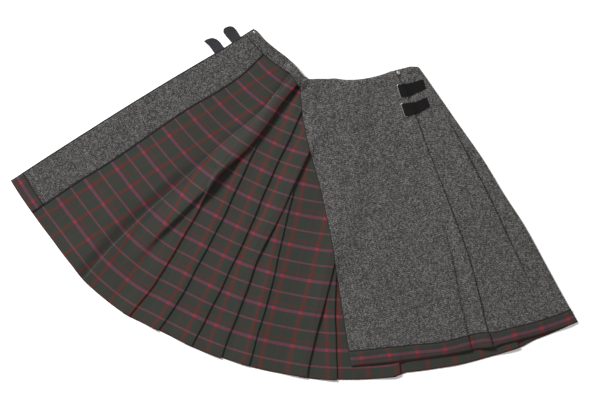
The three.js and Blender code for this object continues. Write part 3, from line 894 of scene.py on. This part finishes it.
class Pleat:
    """A band of the back's lined cloth: floor level on its left, up to its fold edge on the right,
    round it and back under. A band that isn't rolled ends open, under the round fold beyond it."""

    def __init__(self, band, seed, rolled=True):
        self.band = band
        self.seed = seed
        self.rolled = rolled
        self.thick = cloth_thickness()
        self.floor_top = FLOOR_GAP + self.thick
        self.turns = roll_turns(ROLL_STEPS) if rolled else np.array([])
        self.tucks = np.linspace(0, TUCK_DEPTH, 4)[1:] if rolled else []
        main = self.main_columns()
        self.main = len(main)
        edge = [self.behind_fold(1 - math.cos(turn)) for turn in self.turns]
        tucked = [self.behind_fold(1, tuck) for tuck in self.tucks]
        # No two pleats hang quite level: their hems differ by a millimetre or two
        lower = (seed * 7 % 5 - 2) * HEM_DIFFERENCE
        self.grid = Grid(main + edge + tucked, [BACK_WAIST, BACK_HEM + np.array([0, lower])])

    def start(self):
        return beside(self.band.before, -HIDDEN_EDGE)

    def fold(self, r):
        return read(self.band.fold, r) + degrees(wobble(r, self.seed), r)

    def roll_radius(self, r):
        return (read(self.band.crest, r) - self.floor_top) / 2

    def behind_fold(self, share, extra=0.0):
        """A column a share of the roll's radius back from the fold, and a distance more."""
        return lambda r: self.fold(r) - degrees(self.roll_radius(r) * share + extra, r)

    def main_columns(self):
        near_hem = 800
        band = self.band
        widest = arc(read(band.fold, near_hem) - read(band.before, near_hem), near_hem)
        inner = self.behind_fold(1) if self.rolled else beside(band.fold, -OPEN_END)
        return between(self.start(), inner, max(int((widest + HIDDEN_EDGE) / GRID_STEP), 10))

    def reach(self):
        """How far back from the fold the cloth comes down to the floor."""
        return np.clip(0.85 * self.grid.width(self.band.before, self.band.fold), 14, 62)

    def shaped(self, height):
        """Room for a band's own creases."""
        return height

    def height(self):
        grid = self.grid
        under = grid.level(spread_top(2, 2))
        gap = arc(self.fold(grid.radius) - grid.angle, grid.radius)
        behind_roll = gap - self.roll_radius(grid.radius)
        rise = 1 - smooth(behind_roll / self.reach())
        height = self.floor_top + (read(self.band.crest, grid.radius) - self.floor_top) * rise
        height = self.shaped(height + 0.5 * grid.waves(46, self.seed) * smooth(gap / 30))
        on_band = np.where(under > 0.1, under + LAYER_GAP + self.thick, self.floor_top)
        height = np.maximum(height, on_band)
        return self.tucked_under(height, under, behind_roll) if self.rolled else height

    def tucked_under(self, height, under, behind_roll):
        """The main part kept over its own tuck, and the fold's edge and tuck set under it."""
        tuck_level = evened(np.maximum(under[:, self.main:].max(axis=1), self.floor_top)) + LAYER_GAP
        over_tuck = tuck_level[:, None] + 2 * self.thick + LAYER_GAP
        past_tuck = np.maximum(behind_roll - TUCK_DEPTH - 2, 0)
        height = np.maximum(height, np.where(past_tuck < 16, over_tuck - 0.25 * past_tuck, 0))
        edge_top = evened(np.maximum(height[:, self.main - 1], over_tuck[:, 0] + 0.2))
        height[:, self.main - 1] = edge_top
        roll_under(height, self.main, edge_top, tuck_level, self.turns)
        return height

    def weave(self, points):
        """The check's coordinates, with its stripes along the band's guide."""
        band = self.band
        grid = self.grid
        run = run_across(points) / MM
        fold_column = self.main - 1 + len(self.turns) // 2
        across = {
            "own": run[:, fold_column][:, None] - run - band.first,
            "before": band.first + HIDDEN_EDGE - run,
            "fan": arc(read(band.fold, 840) - grid.angle, 840) - band.first,
        }[band.guide]
        return check_uv(across, band.repeat, weft_length(grid.radius, grid.angle))

    def hidden(self):
        """How much of the cut width lies out of sight."""
        return HIDDEN_EDGE + (TUCK_DEPTH + ROLL_ALLOWANCE if self.rolled else -OPEN_END)

    def lay(self):
        band = self.band
        height = self.height()
        points = place(self.grid.x, self.grid.y, height)
        piece = wall(band.name, points, self.thick * MM, finishes("tartan", "tweed"),
                     self.weave(points))
        lay_down(self.grid.x, self.grid.y, height)
        upper_faces[band.name] = points
        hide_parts("back_pleats_lining", "back_pleats_shell")
        flat, area = cut_size(band.before, band.fold, BACK_WAIST, BACK_HEM, self.hidden())


class FirstPleat(Pleat):
    """The first band laps over the apron's edge at the seam. Its fold is a wide soft roll near the
    waist, and lower down a ridge runs out of the roll, with a valley between it and the fold."""

    def start(self):
        return beside(self.band.before)

    def roll_radius(self, r):
        return np.maximum(super().roll_radius(r), read(WIDE_ROLL, r))

    def reach(self):
        valley = self.grid.width(FIRST_RIDGE, self.band.fold)
        return np.where(self.grid.radius > 480, np.clip(valley * 0.75, 7, 62), super().reach())

    def shaped(self, height):
        grid = self.grid
        ridge = -grid.right_of(FIRST_RIDGE)
        strength = smooth((grid.radius - 450) / 50) * (1 - smooth((grid.radius - 590) / 190))
        height = height + 12.5 * strength * hump(ridge, np.where(ridge > 0, 30, 6.5))
        lap = grid.right_of(APRON_SEAM)
        lap_top = self.floor_top + self.thick + 2 * LAYER_GAP
        return np.maximum(height, lap_top - 0.08 * np.maximum(lap - SEAM_MARGIN - 2, 0))

    def hidden(self):
        return TUCK_DEPTH + ROLL_ALLOWANCE


class KILT_OT_back_pleats(bpy.types.Operator):
    """Lay the back's pleats from the right fold to the apron seam"""
    bl_idname = "kilt.back_pleats"
    bl_label = "Back pleats"

    def execute(self, context):
        first, *others, last = BANDS
        Pleat(last, 12, rolled=False).lay()
        for order, band in reversed(list(enumerate(others, 2))):
            Pleat(band, order).lay()
        FirstPleat(first, 1).lay()
        return {"FINISHED"}


def under_apron_height(grid):
    """The under apron lies level, with a soft swell beside its seam."""
    seam_gap = -grid.right_of(APRON_SEAM)
    edge_gap = grid.right_of(FRONT_EDGE)
    swell = (smooth((grid.radius - 430) / 150) * smooth(seam_gap / 26)
             * (1 - smooth((seam_gap - 26) / 110)))
    height = FLOOR_GAP + cloth_thickness() + 6.5 * swell
    height += 1.2 * smooth(seam_gap / 12) * smooth(edge_gap / 30)
    height += 0.6 * grid.waves(58, 21) * smooth(seam_gap / 30) * smooth(edge_gap / 30)
    return height


def inward(grid):
    """How far each place lies from the straight front edge."""
    direction = unit(np.subtract(FRONT_BOTTOM, FRONT_TOP))
    return (grid.y - FRONT_TOP[1]) * direction[0] - (grid.x - FRONT_TOP[0]) * direction[1]


def facing_strip(grid, points):
    """The tweed facing along the front edge, and its end turned up at the hem."""
    trim = bpy.context.scene.kilt_sizes.trim
    lift = trim + TRIM_GAP * MM
    columns = slice(0, FACING_COLUMNS)
    normals = grid_normals(points)[:, columns]
    strip = points[:, columns] + normals * lift
    facing = wall("facing_strip", strip, trim, finishes("facing"),
                  tweed_uv(grid.x, grid.y, FACING_GRAIN)[:, columns], normals)
    upper_faces["facing_strip"] = strip
    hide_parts("apron_facing")
    flat, area = cut_size(FRONT_EDGE, FACING_EDGE, BACK_WAIST, BACK_HEM, 0)

    start = grid.first_row(1)
    end = strip[start:] + normals[start:] * lift
    along = (grid.radius[start:, columns] - FACING_TURN_TOP - 14) * MM
    uv = check_uv(inward(grid)[start:, columns] - 12, FRONT_REPEAT, along)
    turned = wall("facing_turned_end", end, trim, finishes("tartan"), uv, normals[start:])
    upper_faces["facing_turned_end"] = end
    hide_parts("facing_turn_up")


class KILT_OT_under_apron(bpy.types.Operator):
    """Lay the under apron with its facing strip and turned-up end"""
    bl_idname = "kilt.under_apron"
    bl_label = "Under apron"

    def execute(self, context):
        columns = between(beside(FRONT_EDGE), beside(FACING_EDGE), FACING_COLUMNS)
        columns += between(beside(FACING_EDGE), beside(APRON_SEAM, SEAM_MARGIN), 44)[1:]
        grid = Grid(columns, [BACK_WAIST, FACING_TURN, BACK_HEM])
        height = under_apron_height(grid)
        points = place(grid.x, grid.y, height)
        uv = check_uv(inward(grid) - FRONT_STRIPE, FRONT_REPEAT, weft_length(grid.radius, grid.angle))
        apron = wall("under_apron", points, context.scene.kilt_sizes.cloth,
                     finishes("tartan", "tweed"), uv)
        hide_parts("under_apron_lining", "under_apron_shell")
        flat, area = cut_size(FRONT_EDGE, APRON_SEAM, BACK_WAIST, BACK_HEM, SEAM_MARGIN)
        facing_strip(grid, points)
        lay_down(grid.x, grid.y, height)
        under_facing = (slice(None), slice(0, FACING_COLUMNS))
        lay_down(grid.x[under_facing], grid.y[under_facing], height[under_facing] + FACING_STACK)
        return {"FINISHED"}


class KILT_OT_waistband(bpy.types.Operator):
    """Lay the inner waistband along the top of the back"""
    bl_idname = "kilt.waistband"
    bl_label = "Inner waistband"

    def execute(self, context):
        thick = context.scene.kilt_sizes.waistband
        top = BACK_WAIST + np.array([0, -0.6])
        grid = Grid(between(beside(BAND_LEFT), beside(BAND_RIGHT), 52), [top, BAND_BOTTOM], 2.5)
        height = grid.level(spread_top(2, 3)) + LAYER_GAP + thick / MM
        crown = np.sin(np.clip(grid.shares, 0, 1) * np.pi) ** 0.5
        height += 0.7 * crown[:, None] - 0.3 + 0.25 * grid.waves(14, 31)
        points = place(grid.x, grid.y, height)
        middle_radius = 235
        uv = np.stack([arc(grid.angle, middle_radius), grid.radius], axis=-1) * MM
        band = wall("waistband", points, thick, finishes("facing"), uv)
        lay_down(grid.x, grid.y, height)
        upper_faces["waistband"] = points
        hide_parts("waistband_inner")
        return {"FINISHED"}


def side_grid(turns, roll):
    """Places of the side pleats, from under the over apron to the round fold at the right and
    back under it, and how many columns come before that fold."""
    columns = between(beside(APRON_FOLD, -UNDER_APRON_MARGIN), beside(SIDE_FOLD, -2.5), 26)
    columns += [beside(SIDE_FOLD, offset) for offset in (-1, 0, 0.8, 1.6, 3)]
    columns += between(beside(SIDE_FOLD, 5), beside(RIGHT_FOLD, -roll), 10)
    main = len(columns)
    columns += [beside(RIGHT_FOLD, -roll * (1 - math.cos(turn))) for turn in turns]
    columns += [beside(RIGHT_FOLD, -roll - FLOOR_RETURN * part) for part in (0.35, 0.7, 1)]
    return Grid(columns, [OVER_WAIST, HEM_BAND_TOP, OVER_HEM]), main


def side_height(grid, wide, near):
    """The side pleats' heights: a long step down past the side fold, which fades to the hem."""
    over = LAYER_GAP + cloth_thickness()
    close = grid.level(near) + over
    broad = np.maximum(np.maximum(grid.level(wide), 4.6) + over, close)
    height = close + (broad - close) * (0.25 + 0.75 * smooth(grid.above(OVER_HEM) / 40))
    step = smooth((grid.radius - 345) / 40) * (1 - 0.85 * smooth((grid.radius - 600) / 200))
    height += 3.4 * step * crease(grid.right_of(SIDE_FOLD), 34, 1.6, 0.8, 9) + 0.4
    height -= 0.9 * hump(grid.right_of(APRON_FOLD), 20)
    height += 0.7 * grid.waves(52, 41)
    return np.maximum(height, close)


def lay_side_pleats(wide):
    thick = cloth_thickness()
    roll = 4.6
    turns = roll_turns(SIDE_ROLL_STEPS)
    grid, main = side_grid(turns, roll)
    height = side_height(grid, wide, spread_top(2, 3))
    roll_under(height, main, height[:, main - 1], FLOOR_GAP, turns)
    points = place(grid.x, grid.y, height)
    side = wall("side_pleat_cloth", points, thick * MM, finishes("tweed", "tartan"),
                tweed_uv(grid.x, grid.y, SIDE_GRAIN))
    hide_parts("side_pleats")
    hidden = UNDER_APRON_MARGIN + 14 + FLOOR_RETURN
    flat, area = cut_size(APRON_FOLD, RIGHT_FOLD, OVER_WAIST, OVER_HEM, hidden)
    lay_down(grid.x, grid.y, height)
    band = hem_band("side_hem_band", grid, points, slice(3, main + 4))
    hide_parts("hem_band_side")


def ripple(offset):
    """A column past the ripple's edge, drawn in where the ripple and the fold come close."""
    def column(r):
        room = arc(read(APRON_FOLD, r) - read(RIPPLE_EDGE, r), r)
        return read(RIPPLE_EDGE, r) + degrees(offset * np.clip(room / 26, 0, 1), r)
    return column


def over_grid(turns, roll):
    """Places of the over apron, from its free front edge over the ripple to its fold and back
    under it, and how many columns come before that fold."""
    columns = between(beside(OVER_FRONT), beside(RIPPLE_EDGE, -3), 56)
    columns += [ripple(offset) for offset in (-1, 0.5, 2, 4.5, 8)]
    columns += between(ripple(12), beside(APRON_FOLD, -roll), 7)
    main = len(columns)
    columns += [beside(APRON_FOLD, -roll * (1 - math.cos(turn))) for turn in turns]
    columns += [beside(APRON_FOLD, -roll - OVER_TUCK * part) for part in (0.5, 1)]
    return Grid(columns, [OVER_WAIST, HEM_BAND_TOP, OVER_HEM]), main


def over_height(grid, wide, near, roll):
    """The over apron's heights: close on the pleats at its free edges, broad over them between,
    with the ripple and the rise to its fold growing towards the hem."""
    over = LAYER_GAP + cloth_thickness()
    edge_gap = grid.right_of(OVER_FRONT)
    close = grid.level(near) + over
    broad = np.maximum(np.maximum(grid.level(wide), 5.0) + over, close)
    height = close + (broad - close) * smooth(edge_gap / 45) * (
        0.25 + 0.75 * smooth(grid.above(OVER_HEM) / 40))
    strength = smooth((grid.radius - 380) / 160)
    height += 2.3 * strength * crease(grid.right_of(RIPPLE_EDGE), 46, 3.2, 0.7, 11)
    height += 3.0 * strength * (1 - smooth((-grid.right_of(APRON_FOLD) - roll) / 24))
    height += 0.8 * grid.waves(64, 51) * smooth(edge_gap / 40)
    return np.maximum(height, close)


def lay_over_apron(wide):
    thick = cloth_thickness()
    roll = 2.6
    near = spread_top(1, 2)
    turns = roll_turns(ROLL_STEPS)
    grid, main = over_grid(turns, roll)
    height = over_height(grid, wide, near, roll)
    tuck_level = evened(np.maximum(grid.level(near)[:, main:].max(axis=1), 3)) + LAYER_GAP
    over_tuck = tuck_level[:, None] + 2 * thick + LAYER_GAP
    past_tuck = np.maximum(-grid.right_of(APRON_FOLD) - roll - 8, 0)
    height = np.maximum(height, np.where(past_tuck < 16, over_tuck - 0.2 * past_tuck, 0))
    edge_top = evened(height[:, main - 1])
    height[:, main - 1] = edge_top
    roll_under(height, main, edge_top, tuck_level, turns)
    points = place(grid.x, grid.y, height)
    apron = wall("over_apron_cloth", points, thick * MM, finishes("tweed", "tartan"),
                 tweed_uv(grid.x, grid.y, APRON_GRAIN))
    upper_faces["over_apron_cloth"] = points
    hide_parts("over_apron")
    flat, area = cut_size(OVER_FRONT, APRON_FOLD, OVER_WAIST, OVER_HEM, 14)
    lay_down(grid.x, grid.y, height)
    band = hem_band("apron_hem_band", grid, points, slice(0, main + 3))
    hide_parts("hem_band_apron")


def hem_band(name, grid, points, columns):
    """The check band along the hem, lifted off the same points as the cloth under it."""
    trim = bpy.context.scene.kilt_sizes.trim
    start = grid.first_row(1)
    part = points[start:, columns]
    normals = grid_normals(points)[start:, columns]
    lifted = part + normals * (trim + TRIM_GAP * MM)
    depth = grid.radius[start:, columns] - grid.radius[start, columns]
    across = run_across(part) / MM - HEM_STRIPES[name]
    uv = check_uv(across, HEM_REPEAT, (depth - HEM_LINE) * MM)
    band = wall(name, lifted, trim, finishes("tartan"), uv, normals)
    upper_faces[name] = lifted
    return band


class KILT_OT_over_side(bpy.types.Operator):
    """Fold the side pleats and the over apron over the back, with their hem bands"""
    bl_idname = "kilt.over_side"
    bl_label = "Over apron and side pleats"

    def execute(self, context):
        wide = spread_top(7, 9)
        lay_side_pleats(wide)
        lay_over_apron(wide)
        return {"FINISHED"}


def leather_strip(name, left, right, height, thick, finish):
    """A strip of leather between two edge lines, its long edges rolled down and its rim pale."""
    shares = (1 + np.sin(np.linspace(-np.pi / 2, np.pi / 2, 17))) / 2
    flat = left[:, None] + (right - left)[:, None] * shares[None, :, None]
    x, y = flat[..., 0], flat[..., 1]
    rim = np.minimum(shares, 1 - shares) * np.linalg.norm(right - left, axis=1)[:, None]
    rounding = 1 - np.clip(rim / 1.4, 0, 1)
    points = place(x, y, height(x, y) + thick - 0.5 * (1 - np.sqrt(1 - rounding ** 2)))
    if grid_normals(points)[..., 2].mean() < 0:
        points = points[:, ::-1]
    upright = np.broadcast_to(np.array([0.0, 0.0, 1.0]), points.shape)
    strip = wall(name, points, (thick - 0.2) * MM, finishes(finish, "flesh"), points[..., :2],
                 upright, rim_kind=1)
    upper_faces[name] = points
    return strip


def edge_line(corners, count):
    """Points evenly spread along a softened line through corners."""
    corners = np.array(corners, float)
    run = np.concatenate([[0], np.cumsum(np.linalg.norm(np.diff(corners, axis=0), axis=1))])
    at = np.linspace(0, run[-1], count)
    ease = run[-1] * 0.06
    return np.stack([sum(np.interp(np.clip(at + ease * part, 0, run[-1]), run, corners[:, k])
                         for part in (-1, -0.5, 0, 0.5, 1)) / 5 for k in (0, 1)], axis=1)


def strap_end(name, left, right):
    """A strap end that comes out from under the front edge and lifts a little to its tip."""
    root = np.add(left[0], right[0]) / 2

    def height(x, y):
        run = np.hypot(x - root[0], y - root[1]) / STRAP_REACH
        return 0.5 + 3.4 * smooth((run - 0.3) / 0.9)

    strap = leather_strip(name, edge_line(left, 30), edge_line(right, 30), height,
                          STRAP_THICKNESS, "strap")
    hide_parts(name.replace("strap_", "strap_end_"))


def buckle_tab(tab):
    """A tab that narrows to its rounded-off end, sewn down flat on the cloth."""
    share = np.linspace(0, 1, 40)
    run = share * bpy.context.scene.kilt_sizes.tab_length / MM
    sag = tab.bow * np.sin(share * np.pi) ** 2
    cosine, sine = math.cos(math.radians(tab.turn)), math.sin(math.radians(tab.turn))
    middle = np.stack([tab.x + run * cosine - sag * sine, tab.y + run * sine + sag * cosine], axis=1)
    half = np.interp(share, (0, 1), TAB_HALF_WIDTHS)[:, None] * np.array([[-sine, cosine]])
    tops = spread_top(1, 5)
    strip = leather_strip("tab_" + tab.name, middle + half, middle - half,
                          lambda x, y: rest_on(tops, x, y) + 0.4, TAB_THICKNESS, "leather")
    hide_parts("buckle_tab_" + tab.name)


class KILT_OT_leather(bpy.types.Operator):
    """Make the two strap ends and the two buckle tabs"""
    bl_idname = "kilt.leather"
    bl_label = "Straps and tabs"

    def execute(self, context):
        for name, (left, right) in STRAP_EDGES.items():
            strap_end(name, left, right)
        for tab in TABS:
            buckle_tab(tab)
        return {"FINISHED"}


def buckle_bar(name):
    """A wire bar along a tab's free end, its two corners bent back beside the leather."""
    tab = upper_faces["tab_" + name]
    first, last = tab[0, 0], tab[0, -1]
    across = unit(last - first)
    back = unit(tab[8].mean(axis=0) - (first + last) / 2)
    sink = np.array([0, 0, 0.7 * MM])
    first = first - across * 0.3 * MM - back * 1.3 * MM - sink
    last = last + across * 0.3 * MM - back * 1.3 * MM - sink
    arms = (6.0, 2.4)
    near = [first + back * reach * MM for reach in arms]
    near += [first + (back * 0.7 + across * 0.4) * MM, first + across * 2 * MM]
    far = [last - across * 2 * MM, last + (back * 0.7 - across * 0.4) * MM]
    far += [last + back * reach * MM for reach in arms[::-1]]
    straight = [first + (last - first) * part for part in np.linspace(0.12, 0.88, 9)]
    path = np.array(near + straight + far)
    upright = np.broadcast_to(np.array([0.0, 0.0, 1.0]), path.shape)
    wire = tube(path, upright, WIRE_RADIUS * MM, WIRE_RADIUS * MM, 12)
    bar = joined("bar_" + name, [wire], *finishes("steel"))
    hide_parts("buckle_bar_" + name)


def stud_half(name, profile, at, node):
    """One half of the press stud, pressed into the cloth under it."""
    level = float(rest_on(spread_top(1, 4), np.array([at[0]]), np.array([at[1]]))[0]) + 0.1
    half = joined(name, [turned_cap(profile, *at, level)], *finishes("steel"))
    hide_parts(node)


class KILT_OT_fittings(bpy.types.Operator):
    """Make the buckle bars and the two halves of the press stud"""
    bl_idname = "kilt.fittings"
    bl_label = "Bars and studs"

    def execute(self, context):
        for tab in TABS:
            buckle_bar(tab.name)
        stud_half("stud_cap", STUD_PROFILE, STUD, "press_stud")
        stud_half("stud_socket", MATE_PROFILE, MATE, "press_stud_mate")
        return {"FINISHED"}


ALL = slice(None)

# The dark bound edges, and a painted shadow line too: along the hem bands' top edges the thread is
# overlock and also stands in for the shadow above the band. Piece, row and column of its grid, half
# width, half height, how deep the thread is sunk in the cloth, and the sides of its section
BOUND_EDGES_AND_SHADOW_LINES = (
    ("facing_strip", ALL, 0, 1.3, 0.7, 0.0, 8),
    ("facing_strip", ALL, -1, 1.3, 0.7, 0.0, 8),
    ("facing_turned_end", 0, ALL, 1.4, 0.7, 0.0, 8),
    # The hem bands' top edges: overlock thread that also paints the shadow line above the band
    ("side_hem_band", 0, ALL, 1.4, 0.7, 0.0, 8),
    ("apron_hem_band", 0, ALL, 1.4, 0.7, 0.0, 8),
    ("over_apron_cloth", ALL, 0, 1.0, 1.0, 0.6, 8),
    ("pleat_1", ALL, 0, 0.7, 0.5, 0.5, 6),
    ("waistband", -1, ALL, 0.9, 0.9, 0.0, 8),
)

# Runs of stitches: piece, row and column of its grid, gap between stitches and thread radius
BAND_STITCHES = (("waistband", -3, ALL, 1.0, 0.4), ("waistband", 2, ALL, 1.0, 0.35))
TOP_STITCHES = (("pleat_1", slice(6, -2), 1, 1.4, 0.3), ("facing_strip", ALL, -3, 2.0, 0.35))


def grid_line(name, row, column):
    """A row or a column of a piece's upper face, with the face's normals."""
    points = upper_faces[name]
    return points[row, column], grid_normals(points)[row, column]


def thread_run(path, normals, length, gap, radius):
    """Short stitches along a path of points, each bowed a little out of the cloth."""
    run = np.concatenate([[0], np.cumsum(np.linalg.norm(np.diff(path, axis=0), axis=1))])
    lift = np.array([-0.3, 0.6, -0.3])[:, None] * radius
    parts = []
    start = gap
    while start + length < run[-1]:
        at = start + length * np.array([0, 0.5, 1])
        places = np.stack([np.interp(at, run, path[:, k]) for k in range(3)], axis=1)
        ups = np.stack([np.interp(at, run, normals[:, k]) for k in range(3)], axis=1)
        parts.append(tube(places + ups * lift, ups, radius * 1.2, radius, 6))
        start += length + gap
    return parts


class KILT_OT_stitching(bpy.types.Operator):
    """Sew the topstitching and the dark overlocked edges, whose thread along the hem bands' tops also
    paints the shadow line above each band
    """
    bl_idname = "kilt.stitching"
    bl_label = "Stitching and bound edges"

    def execute(self, context):
        bound = []
        for name, row, column, wide, high, sunk, sides in BOUND_EDGES_AND_SHADOW_LINES:
            path, normals = grid_line(name, row, column)
            bound.append(tube(path - normals * sunk * MM, normals, wide * MM, high * MM, sides))
        bound += self.stitches(BAND_STITCHES)
        edges = joined("overlocked_edges", bound, *finishes("overlock"))
        thread = joined("topstitching", self.stitches(TOP_STITCHES), *finishes("topstitch"))
        return {"FINISHED"}

    def stitches(self, runs):
        length = bpy.context.scene.kilt_sizes.stitch
        parts = []
        for name, row, column, gap, radius in runs:
            parts += thread_run(*grid_line(name, row, column), length, gap * MM, radius * MM)
        return parts


class KILT_OT_stage(bpy.types.Operator):
    """Put the skirt on white paper under soft light, seen from straight above"""
    bl_idname = "kilt.stage"
    bl_label = "Stage, lights and camera"

    def execute(self, context):
        self.floor(4.0)
        world = bpy.data.worlds.new("studio")
        world.use_nodes = True
        set_inputs(world.node_tree.nodes["Background"], ((1, 1, 1, 1), 0.42))
        context.scene.world = world
        context.scene.view_settings.view_transform = "Standard"
        self.softbox("key_light", (-3.2, 3.0, 3.5), 1.5, 470)
        self.softbox("fill_light", (1.4, -0.6, 2.6), 1.8, 10)
        self.camera()
        return {"FINISHED"}

    def floor(self, reach):
        mesh = bpy.data.meshes.new("floor")
        corners = [(-reach, -reach, 0), (reach, -reach, 0), (reach, reach, 0), (-reach, reach, 0)]
        mesh.from_pydata(corners, [], [(0, 1, 2, 3)])
        mesh.materials.append(*finishes("paper"))
        floor = bpy.data.objects.new("floor", mesh)
        bpy.context.scene.collection.objects.link(floor)

    def softbox(self, name, location, size, power):
        lamp = bpy.data.lights.new(name, "AREA")
        lamp.size = size
        lamp.energy = power
        light = bpy.data.objects.new(name, lamp)
        light.location = location
        light.rotation_euler = Vector(location).to_track_quat("Z", "Y").to_euler()
        bpy.context.scene.collection.objects.link(light)

    def camera(self):
        centre = origin()
        camera = bpy.data.objects.new("camera", bpy.data.cameras.new("camera"))
        camera.location = (centre[0], centre[1], CAMERA_HEIGHT)
        camera.data.sensor_width = SENSOR_WIDTH
        camera.data.lens = SENSOR_WIDTH * CAMERA_HEIGHT / FRAME_WIDTH
        camera.data.clip_end = 5 * CAMERA_HEIGHT
        bpy.context.scene.collection.objects.link(camera)
        bpy.context.scene.camera = camera


STEPS = (KILT_OT_back_pleats, KILT_OT_under_apron, KILT_OT_waistband, KILT_OT_over_side,
         KILT_OT_leather, KILT_OT_fittings, KILT_OT_stitching, KILT_OT_stage)


class KILT_PT_panel(bpy.types.Panel):
    """The skirt's sizes, colours and steps"""
    bl_idname = "KILT_PT_panel"
    bl_label = "Pleated wrap skirt"
    bl_space_type = "VIEW_3D"
    bl_region_type = "UI"
    bl_category = "Wrap skirt"

    def draw(self, context):
        scene = context.scene
        for name in KiltSizes.__annotations__:
            self.layout.prop(scene.kilt_sizes, name)
        for name in KiltColours.__annotations__:
            self.layout.prop(scene.kilt_colours, name)
        for step in STEPS:
            self.layout.operator(step.bl_idname)


CLASSES = (KiltSizes, KiltColours, *STEPS, KILT_PT_panel)


def register():
    for item in CLASSES:
        bpy.utils.register_class(item)
    bpy.types.Scene.kilt_sizes = bpy.props.PointerProperty(type=KiltSizes)
    bpy.types.Scene.kilt_colours = bpy.props.PointerProperty(type=KiltColours)


def unregister():
    del bpy.types.Scene.kilt_colours
    del bpy.types.Scene.kilt_sizes
    for item in reversed(CLASSES):
        bpy.utils.unregister_class(item)


def main():
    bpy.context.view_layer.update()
    register()
    bpy.ops.kilt.back_pleats()
    bpy.ops.kilt.under_apron()
    bpy.ops.kilt.waistband()
    bpy.ops.kilt.over_side()
    bpy.ops.kilt.leather()
    bpy.ops.kilt.fittings()
    bpy.ops.kilt.stitching()
    bpy.ops.kilt.stage()
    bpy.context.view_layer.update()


if __name__ == "__main__":
    main()
